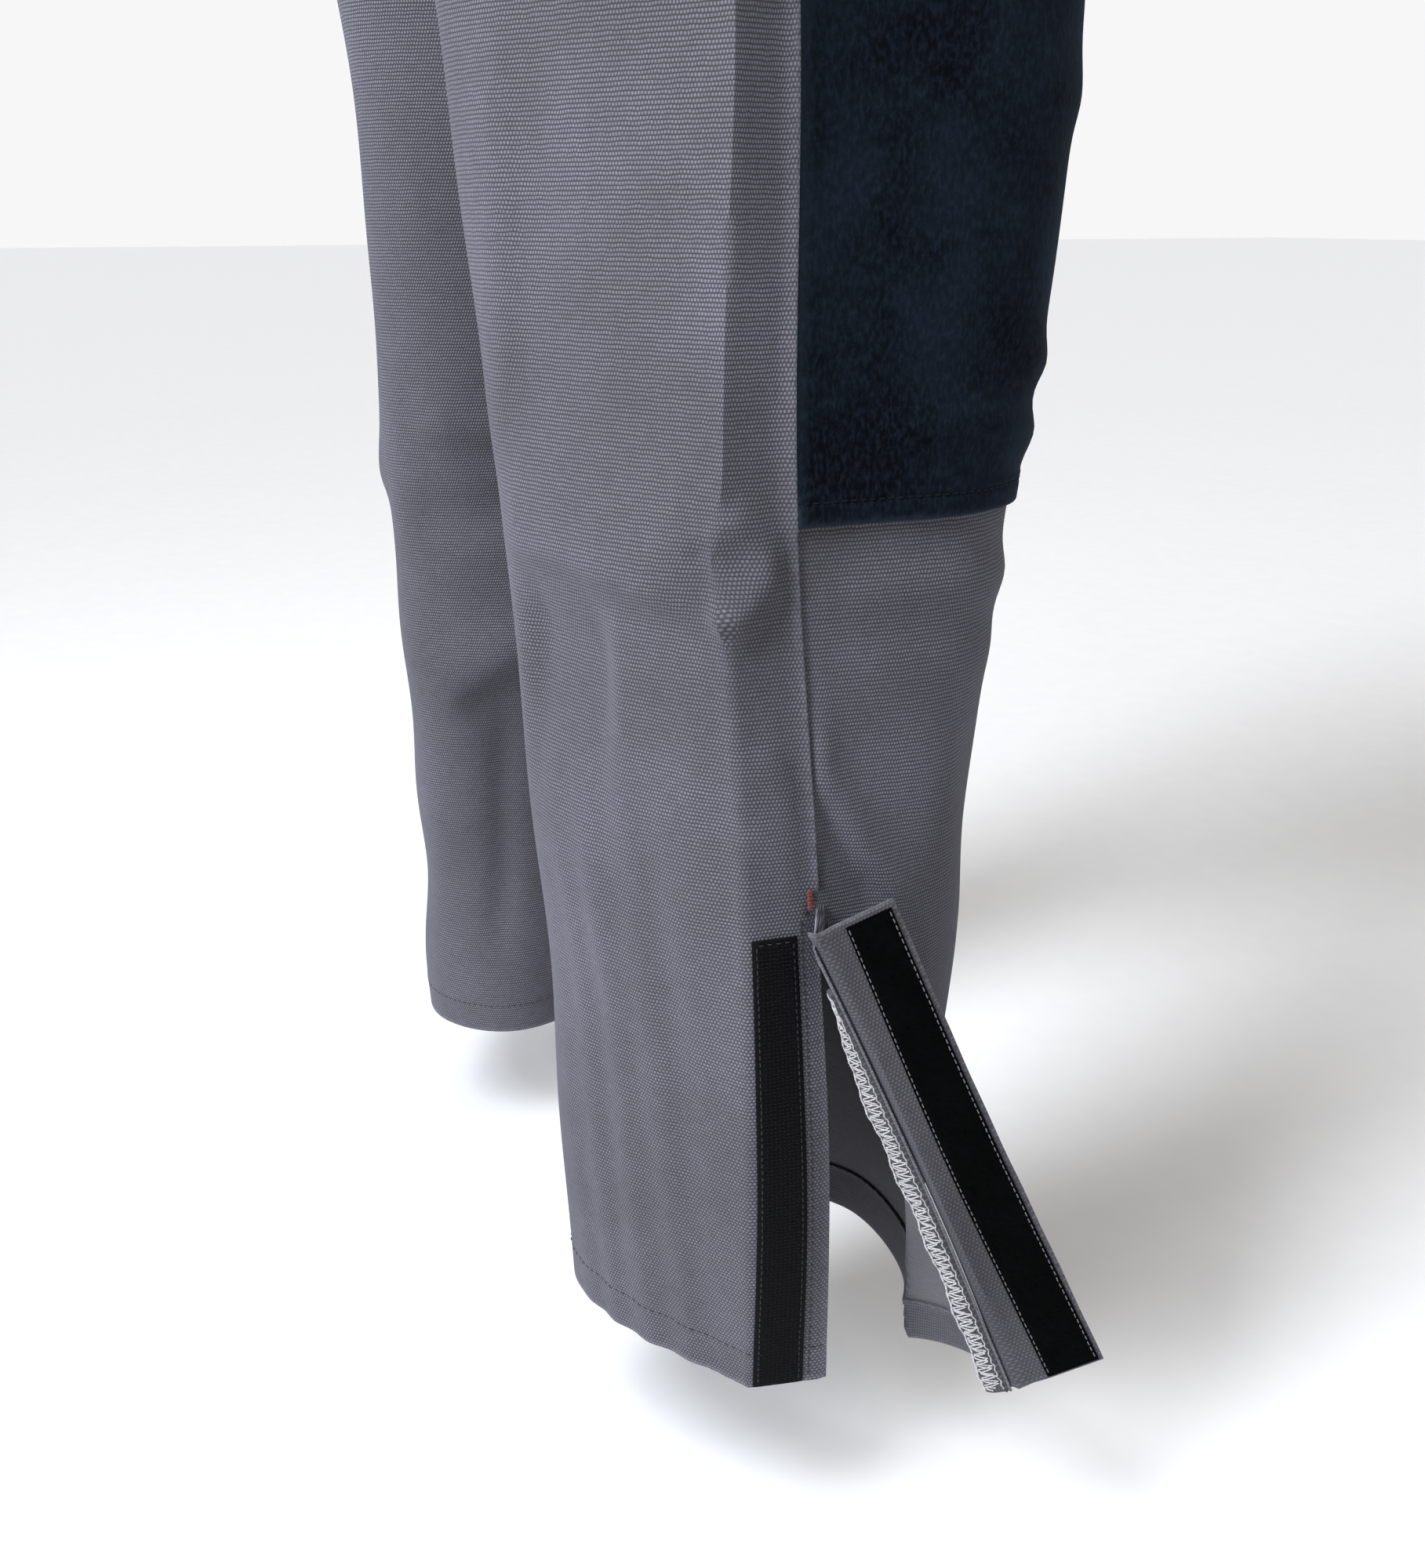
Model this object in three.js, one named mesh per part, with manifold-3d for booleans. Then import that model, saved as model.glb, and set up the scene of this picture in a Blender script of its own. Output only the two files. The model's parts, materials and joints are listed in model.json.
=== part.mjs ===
import * as THREE from "three";
import { mergeVertices } from "three/addons/utils/BufferGeometryUtils.js";
import Module from "manifold-3d";

// Full-wrap chainsaw chaps: two closed canvas legs with suede over the thigh and knee, a saw pad and a
// lining inside the front, a hip yoke, a webbing belt with a cam buckle, and at each outer ankle a slit
// that closes with a hook-and-loop flap. The right ankle is undone and swung open, the left one is closed.
// Millimetres, +Z up, the front faces -Y and the wearer's right is -X. Heights are counted from the hem
// and the finished garment is hung so that the middle of the belt is the origin.

// Driving dimensions.
const CROTCH_HEIGHT = 740; // hem to the top of the closed leg
const HIP_RISE = 245; // crotch to the middle of the belt
const GIRTH = 1; // every leg section is scaled by this
const STANCE = 1; // how far the legs stand apart, for legs of any girth
const SUEDE_EDGE = 388; // hem to the lower edge of the suede
const SLIT = 240; // length of the ankle slit
const HEM = 20; // depth of the turned hem
const WAIST_HALF_WIDTH = 165;
const WAIST_HALF_DEPTH = 125;
const YOKE_RISE = 37; // the yoke's top edge above the middle of the belt
const SWING_OPEN = 80; // degrees, the ankle corner swung open
const FLAP_OPEN = 92; // degrees, the flap folded back on the open corner

// Cloth, from the inside out.
const CANVAS = 1.2;
const SUEDE = 1.6;
const PAD = 4.4;
const LINING = 0.9;
const HOOK_TAPE = 1.2;
const LOOP_TAPE = 1.2;
const SEAM_CLOTH = 1.4;
const TACK_THREAD = 0.8;
const CLEAR = 0.3; // gap between layers that touch

// Lengths up the leg, from the slit or the crotch.
const PAD_ABOVE_SLIT = 50;
const PAD_BELOW_CROTCH = 5;
const CORNER_TIP = 18; // the open corner stops this far short of the slit's top
const OVERLOCK_TIP = 52; // and the overlocked seam allowance this far
const FLAP_OVER = 6; // the flap reaches this far above the slit
const TACK_GAP = 3;
const TACK_LENGTH = 8;

// Belt, buckle, keepers and patch.
const BELT_WIDTH = 40;
const WEBBING = 2.4;
const TAIL_LENGTH = 145;
const TAIL_MIDDLE = -6;
const BUCKLE_LENGTH = 40;
const BUCKLE_WALL = 3;
const CHEEK_HEIGHT = 19;
const CHANNEL_PLAY = 4; // the buckle's channel is this much wider than the belt
const PIN_RADIUS = 2;
const PIN_CLEARANCE = 0.3;
const HUB_RADIUS = 7;
const LEVER_REACH = 34;
const LEVER_PLATE = 3;
const KEEPER_WIDTH = 13;
const KEEPER_FOOT = 10; // length of a keeper sewn down above and below the belt
const KEEPER_PLAY = 1.2;
const KEEPER_TURNS = { front: 22, side: 62, rear: 104 }; // degrees round the waist from the front
const RIVET_RADIUS = 4.5;
const RIVET_HEIGHT = 1.4;

const COLOUR = {
  canvas: 0x6b6c74,
  inside: 0x74767a,
  suede: 0x151b24,
  tape: 0x0c0c0f,
  thread: 0xb9bbb8,
  pad: 0xc9c4a6,
  lining: 0x33363c,
  webbing: 0x17181b,
  steel: 0xa8abad,
  copper: 0xb98a7c,
};

// Leg sections from hem to crotch: share of the leg's height, half depth, half width, shift to the front,
// leg centre from the middle of the garment, turn-out in degrees, and where the side seam and the pressed
// crease lie as shares of the half depth.
const SECTIONS = [
  [0.0, 85.5, 73, 0, 180, 24, 0.457, 0.02],
  [0.16, 91, 76, 4, 176, 24, 0.385, 0.0],
  [0.34, 97, 80, 6, 168, 23, 0.265, -0.04],
  [0.54, 108, 86, 13, 155, 20, 0.08, -0.17],
  [0.76, 123.5, 96, 23.5, 135, 16, -0.015, -0.19],
  [1.0, 132, 104, 14, 118, 8, -0.05, -0.22],
];
const SEAM_WIDTH_SHARE = 0.9; // the side seam's place across the half width
// Places round the section, by number: 0 is the side seam, 2 the front, INSEAM the inside of the leg,
// 6 the back, CREASE the pressed crease and TURN the side seam again.
const ROUND = [[1.0, -0.05], [0.72, -0.78], [0.05, -1.0], [-0.65, -0.76], [-1, -0.16], [-0.66, 0.47]];
const INSEAM = 4;
const CREASE = 8;
const TURN = 9;
const STEPS_PER_PLACE = 3;
const PLACKET_STEPS = 2;
const YOKE_FRONT = 3.2; // the yoke runs from here on the front of the leg
const YOKE_BACK = -2; // round the side seam to here on the back
const YOKE_TURN = 118; // degrees of the waist that each half of the yoke covers
const CORNER_REACH = 1.7; // the open corner's place on the hem, ahead of the side seam

// Places, by number, of the pieces sewn beside the slit.
const TAPE_PLACES = [8.07, 8.69];
const FLAP_PLACES = [8.02, 8.97];
const TACK_PLACES = [8.84, 8.92];
const OVERLOCK_PLACES = [0.04, 0.31];
const SEAM_GAP = 0.012; // about half a millimetre of cloth

const BELT_HEIGHT = CROTCH_HEIGHT + HIP_RISE;
const lerp = THREE.MathUtils.lerp;
const radians = THREE.MathUtils.degToRad;
const beltBase = SUEDE + 2 * CLEAR;

// ---- closed cloth solids --------------------------------------------------------------------------

// A closed solid between an inner and an outer sheet: at(row, column, layer) gives its points.
function sheetSolid(rows, columns, at) {
  const position = [];
  const index = [];
  const width = columns + 1;
  const layerSize = (rows + 1) * width;
  for (let layer = 0; layer < 2; layer += 1)
    for (let row = 0; row <= rows; row += 1)
      for (let column = 0; column <= columns; column += 1)
        position.push(...at(row, column, layer).toArray());
  const id = (row, column, layer) => layer * layerSize + row * width + column;
  const quad = (a, b, c, d) => index.push(a, b, c, a, c, d);
  for (let r = 0; r < rows; r += 1)
    for (let c = 0; c < columns; c += 1) {
      quad(id(r, c, 1), id(r, c + 1, 1), id(r + 1, c + 1, 1), id(r + 1, c, 1));
      quad(id(r, c, 0), id(r + 1, c, 0), id(r + 1, c + 1, 0), id(r, c + 1, 0));
    }
  for (let c = 0; c < columns; c += 1) {
    quad(id(0, c, 0), id(0, c + 1, 0), id(0, c + 1, 1), id(0, c, 1));
    quad(id(rows, c + 1, 0), id(rows, c, 0), id(rows, c, 1), id(rows, c + 1, 1));
  }
  for (let r = 0; r < rows; r += 1) {
    quad(id(r + 1, 0, 0), id(r, 0, 0), id(r, 0, 1), id(r + 1, 0, 1));
    quad(id(r, columns, 0), id(r + 1, columns, 0), id(r + 1, columns, 1), id(r, columns, 1));
  }
  const geometry = new THREE.BufferGeometry();
  geometry.setAttribute("position", new THREE.Float32BufferAttribute(position, 3));
  geometry.setIndex(index);
  return volumeOf(geometry) < 0 ? turnedInsideOut(geometry) : geometry;
}

function volumeOf(geometry) {
  const p = geometry.getAttribute("position");
  const corner = [new THREE.Vector3(), new THREE.Vector3(), new THREE.Vector3()];
  let sum = 0;
  for (let i = 0; i < geometry.index.count; i += 3) {
    corner.forEach((v, k) => v.fromBufferAttribute(p, geometry.index.getX(i + k)));
    sum += corner[0].dot(corner[1].clone().cross(corner[2]));
  }
  return sum / 6;
}

function turnedInsideOut(geometry) {
  const index = Array.from(geometry.index.array);
  for (let i = 0; i < index.length; i += 3) [index[i + 1], index[i + 2]] = [index[i + 2], index[i + 1]];
  return geometry.setIndex(index);
}

// ---- the leg's surface ----------------------------------------------------------------------------

const sectionHeights = SECTIONS.map(([share]) => share * CROTCH_HEIGHT);
const extraHeights = [0.08, 0.24, 0.65, 0.88].map((share) => share * CROTCH_HEIGHT);
const PAD_FOOT = SLIT + PAD_ABOVE_SLIT;
const PAD_TOP = CROTCH_HEIGHT - PAD_BELOW_CROTCH;
const LEAST_ROW = 3;
const LEG_ROWS = [...sectionHeights, ...extraHeights, HEM, SLIT, PAD_FOOT, SUEDE_EDGE, PAD_TOP]
  .sort((a, b) => a - b)
  .filter((z, i, all) => i === 0 || z - all[i - 1] > LEAST_ROW);

function sectionAt(z) {
  const share = THREE.MathUtils.clamp(z / CROTCH_HEIGHT, 0, 1);
  const above = Math.max(1, SECTIONS.findIndex(([s]) => s >= share - 1e-9));
  const [low, high] = [SECTIONS[above - 1], SECTIONS[above]];
  const t = (share - low[0]) / (high[0] - low[0]);
  return low.map((value, i) => lerp(value, high[i], t));
}

const places = [];
for (let i = 0; i <= CREASE * STEPS_PER_PLACE; i += 1) places.push(i / STEPS_PER_PLACE);
for (let i = 1; i <= PLACKET_STEPS; i += 1) places.push(CREASE + i / PLACKET_STEPS);

// The section's outline at one height as points (to the side, to the front), one for each place.
function outlineAt(z) {
  const [, depth, width, shift, centre, turn, seam, crease] = sectionAt(z);
  const knots = [[seam, SEAM_WIDTH_SHARE], [Math.max(0.8, seam + 0.2), 0.6], ...ROUND, [crease, 1]];
  const curve = new THREE.CatmullRomCurve3(
    knots.map(([p, q]) => new THREE.Vector3(p * depth * GIRTH, q * width * GIRTH, 0)),
    false,
    "catmullrom",
    0.5,
  );
  const seamPoint = curve.getPoint(0);
  const creasePoint = curve.getPoint(1);
  const angle = radians(turn);
  return places.map((place) => {
    const p =
      place <= CREASE
        ? curve.getPoint(place / CREASE)
        : creasePoint.clone().lerp(seamPoint, place - CREASE);
    const front = p.x * Math.cos(angle) - p.y * Math.sin(angle) + shift;
    const side = p.x * Math.sin(angle) + p.y * Math.cos(angle) + centre * STANCE * GIRTH;
    return new THREE.Vector2(side, front);
  });
}

// Outward normals of an outline, mitred so that offset outlines stay parallel.
function outlineNormals(points, closed) {
  const last = points.length - 1;
  return points.map((point, i) => {
    const before = i > 0 ? points[i - 1] : closed ? points[last - 1] : null;
    const after = i < last ? points[i + 1] : closed ? points[1] : null;
    const edges = [before && point.clone().sub(before), after && after.clone().sub(point)]
      .filter(Boolean)
      .map((edge) => new THREE.Vector2(edge.y, -edge.x).normalize());
    const normal = edges.reduce((a, b) => a.clone().add(b)).normalize();
    return normal.divideScalar(Math.max(0.5, normal.dot(edges[0])));
  });
}

const legGrid = LEG_ROWS.map((z) => {
  const outline = outlineAt(z);
  return { z, outline, normals: outlineNormals(outline, true) };
});

function bracket(values, value) {
  let i = 1;
  while (i < values.length - 1 && values[i] < value) i += 1;
  return [i - 1, (value - values[i - 1]) / (values[i] - values[i - 1])];
}

// A point of the leg, "out" millimetres outside the canvas. Places below zero wrap round the seam.
function legPoint(sign, place, z, out) {
  const wrapped = place < 0 ? place + TURN : place;
  const [row, v] = bracket(LEG_ROWS, z);
  const [column, u] = bracket(places, wrapped);
  const at = (i) => {
    const ring = legGrid[i];
    const a = ring.outline[column].clone().addScaledVector(ring.normals[column], out);
    const b = ring.outline[column + 1].clone().addScaledVector(ring.normals[column + 1], out);
    return a.lerp(b, u);
  };
  const p = at(row).lerp(at(row + 1), v);
  return new THREE.Vector3(sign * p.x, -p.y, lerp(LEG_ROWS[row], LEG_ROWS[row + 1], v));
}

const STEP_GAP = 0.05; // steps nearer than this to a piece's edge are left out
function between(values, low, high) {
  return [low, ...values.filter((v) => v > low + STEP_GAP && v < high - STEP_GAP), high];
}

// A piece of cloth on the leg between two places, two heights and two distances out from the canvas.
function legPiece(sign, [from, to], [bottom, top], [inner, outer]) {
  const rows = between(LEG_ROWS, bottom, top);
  const columns = between(places, from, to);
  return sheetSolid(rows.length - 1, columns.length - 1, (row, column, layer) =>
    legPoint(sign, columns[column], rows[row], layer ? outer : inner),
  );
}

// A piece whose two edges run at places given for each height.
function slantedPiece(sign, fromAt, toAt, columns, [bottom, top], [inner, outer]) {
  const rows = between(LEG_ROWS, bottom, top);
  return sheetSolid(rows.length - 1, columns, (row, column, layer) => {
    const z = rows[row];
    return legPoint(sign, lerp(fromAt(z), toAt(z), column / columns), z, layer ? outer : inner);
  });
}

// Cloth of the front panel: whole above the slit, and below it cut back along the open corner's fold.
function frontCloth(sign, skipped, [bottom, top], [inner, outer]) {
  const rows = between(LEG_ROWS, bottom, top);
  const columns = between(places, SEAM_GAP, INSEAM - SEAM_GAP).slice(skipped);
  const last = columns.length - 1;
  return sheetSolid(rows.length - 1, last, (row, column, layer) => {
    const z = rows[row];
    const kept = column === last ? 0 : 1 - columns[column] / INSEAM;
    return legPoint(sign, columns[column] + cornerEdge(z) * kept, z, layer ? outer : inner);
  });
}

// ---- the yoke's surface ---------------------------------------------------------------------------

const yokePlaces = [-2, -1.66, -1.33, -1, -0.5, ...places.filter((p) => p <= 3), YOKE_FRONT];
const yokeTop = BELT_HEIGHT + YOKE_RISE;
const UPRIGHT = 0.6; // share of the yoke's height where its halves meet and it starts to stand upright
const PATCH_TOP = 0.74;
const YOKE_SHARES = [0, 0.12, 0.24, 0.36, 0.48, UPRIGHT, PATCH_TOP, 1];

// The waist line: turn is in degrees from the middle of the front, and the back is straight.
const FLAT_BACK = 78; // half length of the straight at the back
const flatBackDepth = WAIST_HALF_DEPTH * Math.sqrt(1 - (FLAT_BACK / WAIST_HALF_WIDTH) ** 2);
function waistPoint(turn, out) {
  const angle = radians(turn);
  const front = WAIST_HALF_DEPTH * Math.cos(angle);
  const p = new THREE.Vector2(WAIST_HALF_WIDTH * Math.sin(angle), front);
  const normal = new THREE.Vector2(Math.sin(angle) / WAIST_HALF_WIDTH, Math.cos(angle) / WAIST_HALF_DEPTH);
  p.addScaledVector(normal.normalize(), out);
  p.y = Math.max(p.y, -flatBackDepth - out);
  return p;
}

const crotchRing = outlineAt(CROTCH_HEIGHT);
function crotchPoint(place) {
  const [column, u] = bracket(places, place < 0 ? place + TURN : place);
  return crotchRing[column].clone().lerp(crotchRing[column + 1], u);
}

const yokeRun = [0];
for (let i = 1; i < yokePlaces.length; i += 1)
  yokeRun.push(yokeRun[i - 1] + crotchPoint(yokePlaces[i]).distanceTo(crotchPoint(yokePlaces[i - 1])));
const waistTurn = yokeRun.map((run) => lerp(YOKE_TURN, 0.6, run / yokeRun[yokeRun.length - 1]));

// The yoke's outline at a share of its height: the crotch section eased into the waist line.
function yokeOutline(share) {
  const closing = THREE.MathUtils.smoothstep(share, 0, UPRIGHT);
  return yokePlaces.map((place, i) => {
    const low = crotchPoint(place);
    const high = waistPoint(waistTurn[i], 0);
    return low.lerp(high, closing);
  });
}

const yokeGrid = YOKE_SHARES.map((share) => {
  const outline = yokeOutline(share);
  return { outline, normals: outlineNormals(outline, false) };
});

function yokePoint(sign, place, share, out) {
  const [row, v] = bracket(YOKE_SHARES, share);
  const [column, u] = bracket(yokePlaces, place);
  const at = (i) => {
    const ring = yokeGrid[i];
    const a = ring.outline[column].clone().addScaledVector(ring.normals[column], out);
    const b = ring.outline[column + 1].clone().addScaledVector(ring.normals[column + 1], out);
    return a.lerp(b, u);
  };
  const p = at(row).lerp(at(row + 1), v);
  return new THREE.Vector3(sign * p.x, -p.y, lerp(CROTCH_HEIGHT + CLEAR, yokeTop, share));
}

function yokePiece(sign, [from, to], [bottom, top], [inner, outer]) {
  const rows = between(YOKE_SHARES, bottom, top);
  const columns = between(yokePlaces, from, to);
  return sheetSolid(rows.length - 1, columns.length - 1, (row, column, layer) =>
    yokePoint(sign, columns[column], rows[row], layer ? outer : inner),
  );
}

// ---- assembly helpers -----------------------------------------------------------------------------

const garment = new THREE.Group();
garment.position.z = -BELT_HEIGHT;

function add(parent, name, geometry, color, roughness = 0.9, metalness = 0) {
  const mesh = new THREE.Mesh(geometry, new THREE.MeshStandardMaterial({ color, roughness, metalness }));
  mesh.name = name;
  parent.add(mesh);
  return mesh;
}

// A group whose contents are turned about the line from one point to another.
function turnedAbout(parent, from, to, degrees) {
  const place = new THREE.Group();
  const turn = new THREE.Group();
  const back = new THREE.Group();
  place.position.copy(from);
  turn.quaternion.setFromAxisAngle(to.clone().sub(from).normalize(), radians(degrees));
  back.position.copy(from).negate();
  parent.add(place);
  place.add(turn);
  turn.add(back);
  return back;
}

// ---- legs -----------------------------------------------------------------------------------------

const canvasLayer = [-CANVAS, 0];
const suedeLayer = [CLEAR, CLEAR + SUEDE];
const turnedLayer = [-CANVAS - CLEAR - SEAM_CLOTH, -CANVAS - CLEAR];
const padLayer = [-CANVAS - CLEAR - PAD, -CANVAS - CLEAR];
const liningLayer = [padLayer[0] - CLEAR - LINING, padLayer[0] - CLEAR];
const hookLayer = [CLEAR, CLEAR + HOOK_TAPE];
const loopLayer = [hookLayer[1] + CLEAR, hookLayer[1] + CLEAR + LOOP_TAPE];
const flapLayer = [loopLayer[1] + CLEAR, loopLayer[1] + CLEAR + CANVAS];
const cornerEdge = (z) => CORNER_REACH * Math.max(0, 1 - z / SLIT);

function legCloth(side, sign) {
  const top = CROTCH_HEIGHT;
  add(garment, side + "_front_panel", frontCloth(sign, 0, [0, top], canvasLayer), COLOUR.canvas);
  const back = legPiece(sign, [INSEAM, TURN - SEAM_GAP], [0, top], canvasLayer);
  add(garment, side + "_back_panel", back, COLOUR.canvas);
  const suede = legPiece(sign, [SEAM_GAP, YOKE_FRONT], [SUEDE_EDGE, top], suedeLayer);
  add(garment, side + "_suede_panel", suede, COLOUR.suede, 1);
  const inside = [PAD_FOOT, PAD_TOP];
  add(garment, side + "_saw_pad", legPiece(sign, [places[1], places[10]], inside, padLayer), COLOUR.pad);
  const lining = legPiece(sign, [places[1], places[11]], inside, liningLayer);
  add(garment, side + "_lining", lining, COLOUR.lining);
  add(garment, side + "_hem_front", frontCloth(sign, 1, [1, HEM], turnedLayer), COLOUR.inside);
  const hemBack = legPiece(sign, [INSEAM, TURN - 0.35], [1, HEM], turnedLayer);
  add(garment, side + "_hem_back", hemBack, COLOUR.inside);
  add(garment, side + "_hook_tape", legPiece(sign, TAPE_PLACES, [1, SLIT - 8], hookLayer), COLOUR.tape);
  const tackHeights = [SLIT + TACK_GAP, SLIT + TACK_GAP + TACK_LENGTH];
  const tack = legPiece(sign, TACK_PLACES, tackHeights, [CLEAR, CLEAR + TACK_THREAD]);
  add(garment, side + "_bar_tack", tack, COLOUR.copper, 0.7);
}

// The line that an ankle corner swings about, from the slit's top to the hem. It lies outside the cloth,
// because the fold between the corner and the front panel bulges out over the straight line.
function swingLine(sign) {
  const top = legPoint(sign, 0, SLIT, 0);
  const foot = legPoint(sign, CORNER_REACH, 0, 0);
  const along = foot.clone().sub(top).normalize();
  const onFold = (z, out) => legPoint(sign, cornerEdge(z), z, out);
  const normal = onFold(SLIT / 2, 1).sub(onFold(SLIT / 2, 0));
  const out = normal.addScaledVector(along, -normal.dot(along)).normalize();
  const foldRows = LEG_ROWS.filter((z) => z <= SLIT);
  const lift = Math.max(...foldRows.map((z) => onFold(z, 0).sub(top).dot(out))) + 2 * CLEAR;
  return [top.addScaledVector(out, lift), foot.addScaledVector(out, lift)];
}

// The line that a flap folds about: the side seam, at the flap's outer face.
const foldLine = (sign) => [legPoint(sign, TURN, 0, flapLayer[1]), legPoint(sign, TURN, SLIT, flapLayer[1])];

// The ankle closure is drawn closed and then swung open.
function ankleClosure(side, sign, swing, fold) {
  const corner = turnedAbout(garment, ...swingLine(sign), sign * swing);
  const edge = (z) => cornerEdge(z) - SEAM_GAP;
  const panel = slantedPiece(sign, () => SEAM_GAP, edge, 5, [0, SLIT - CORNER_TIP], canvasLayer);
  add(corner, side + "_ankle_corner", panel, COLOUR.canvas);
  const hem = slantedPiece(sign, () => 0.36, (z) => edge(z) - 0.05, 4, [1, HEM], turnedLayer);
  add(corner, side + "_corner_hem", hem, COLOUR.inside);
  const [seamSide, foldSide] = OVERLOCK_PLACES;
  const strip = [1, SLIT - OVERLOCK_TIP];
  const overlock = slantedPiece(sign, () => seamSide, () => foldSide, 2, strip, turnedLayer);
  add(corner, side + "_overlock_seam", overlock, COLOUR.thread);
  const flap = turnedAbout(corner, ...foldLine(sign), -sign * fold);
  add(flap, side + "_flap", legPiece(sign, FLAP_PLACES, [1, SLIT + FLAP_OVER], flapLayer), COLOUR.canvas);
  const loop = legPiece(sign, TAPE_PLACES, [3, SLIT + FLAP_OVER - 2], loopLayer);
  add(flap, side + "_loop_tape", loop, COLOUR.tape, 1);
}

function hip(side, sign) {
  const range = [YOKE_BACK, YOKE_FRONT];
  add(garment, side + "_yoke_canvas", yokePiece(sign, range, [0, 1], canvasLayer), COLOUR.canvas);
  add(garment, side + "_yoke_suede", yokePiece(sign, range, [0.02, 0.995], suedeLayer), COLOUR.suede, 1);
  const band = yokePiece(sign, [yokePlaces[1], 3], YOKE_SHARES.slice(-2), turnedLayer);
  add(garment, side + "_waistband", band, COLOUR.inside);
}

// ---- belt -----------------------------------------------------------------------------------------

const beltLayer = [beltBase, beltBase + WEBBING];
const backY = flatBackDepth; // +Y is the back

// Half of the belt, from the middle of the front round to the straight back.
function beltHalf(sign, endX) {
  const turns = [...waistTurn].reverse().concat([124, 131, 138, 145, 152]);
  return sheetSolid(1, turns.length, (row, column, layer) => {
    const out = layer ? beltLayer[1] : beltLayer[0];
    const z = BELT_HEIGHT + (row - 0.5) * BELT_WIDTH;
    const p = column < turns.length ? waistPoint(turns[column], out) : new THREE.Vector2(endX, -backY - out);
    return new THREE.Vector3(sign * p.x, -p.y, z);
  });
}

const wasm = await Module();
wasm.setup();

function solidOf(geometry) {
  const plain = geometry.clone();
  plain.deleteAttribute("normal");
  plain.deleteAttribute("uv");
  const merged = mergeVertices(plain, 1e-4);
  const mesh = { numProp: 3, vertProperties: merged.attributes.position.array };
  mesh.triVerts = new Uint32Array(merged.index.array);
  return new wasm.Manifold(new wasm.Mesh(mesh));
}

function geometryOf(solid) {
  const mesh = solid.getMesh();
  const geometry = new THREE.BufferGeometry();
  geometry.setAttribute("position", new THREE.BufferAttribute(mesh.vertProperties, 3));
  return geometry.setIndex(new THREE.BufferAttribute(mesh.triVerts, 1));
}

const bored = (geometry, bore) => geometryOf(solidOf(geometry).subtract(solidOf(bore)));

function extruded(points, depth) {
  const shape = new THREE.Shape(points.map(([x, y]) => new THREE.Vector2(x, y)));
  const geometry = new THREE.ExtrudeGeometry(shape, { depth, bevelEnabled: false });
  return geometry.translate(0, 0, -depth / 2);
}

function rod(radius, length) {
  return new THREE.CylinderGeometry(radius, radius, length, 20).rotateX(Math.PI / 2);
}

const channel = BELT_WIDTH + CHANNEL_PLAY;
const leverAxis = { x: BUCKLE_LENGTH / 5, y: beltBase + 2 * WEBBING + CLEAR + HUB_RADIUS + 0.5 };

// The buckle's drawings have x along the belt and y out from the waist.
function camBuckle() {
  const seat = new THREE.Group();
  seat.position.set(0, backY, BELT_HEIGHT);
  garment.add(seat);
  const half = channel / 2 + BUCKLE_WALL;
  const floor = beltBase + WEBBING;
  const profile = [[-half, beltBase], [half, beltBase], [half, CHEEK_HEIGHT], [channel / 2, CHEEK_HEIGHT]];
  profile.push([channel / 2, floor], [-channel / 2, floor]);
  profile.push([-channel / 2, CHEEK_HEIGHT], [-half, CHEEK_HEIGHT]);
  const body = extruded(profile, BUCKLE_LENGTH).rotateY(Math.PI / 2);
  const bore = rod(PIN_RADIUS + PIN_CLEARANCE, 2 * half + 4).translate(leverAxis.x, leverAxis.y, 0);
  add(seat, "buckle_body", bored(body, bore), COLOUR.steel, 0.35, 1);
  const pin = rod(PIN_RADIUS, 2 * half - 1).translate(leverAxis.x, leverAxis.y, 0);
  add(seat, "buckle_pin", pin, COLOUR.steel, 0.3, 1);
  const lever = leverGeometry().translate(leverAxis.x, leverAxis.y, 0);
  add(seat, "cam_lever", lever, COLOUR.steel, 0.35, 1);
}

// A round hub on the pin and a flat thumb plate that lies along the belt.
function leverGeometry() {
  const points = [];
  for (let i = 0; i <= 12; i += 1) {
    const angle = radians(lerp(90, -170, i / 12));
    points.push([HUB_RADIUS * Math.cos(angle), HUB_RADIUS * Math.sin(angle)]);
  }
  const under = HUB_RADIUS - LEVER_PLATE - 1;
  points.push([-HUB_RADIUS - 2, under - 0.5], [-LEVER_REACH, under]);
  points.push([-LEVER_REACH, under + LEVER_PLATE], [-HUB_RADIUS - 1, HUB_RADIUS]);
  return bored(extruded(points, channel - 2), rod(PIN_RADIUS + PIN_CLEARANCE, channel + 2));
}

function beltPieces() {
  add(garment, "belt_right", beltHalf(-1, BUCKLE_LENGTH / 2 + 2), COLOUR.webbing);
  add(garment, "belt_left", beltHalf(1, BUCKLE_LENGTH / 2 + 12), COLOUR.webbing);
  const tail = new THREE.BoxGeometry(TAIL_LENGTH, WEBBING, BELT_WIDTH);
  const strip = add(garment, "belt_tail", tail, COLOUR.webbing);
  strip.position.set(TAIL_MIDDLE, backY + beltLayer[1] + CLEAR + WEBBING / 2, BELT_HEIGHT);
}

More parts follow.
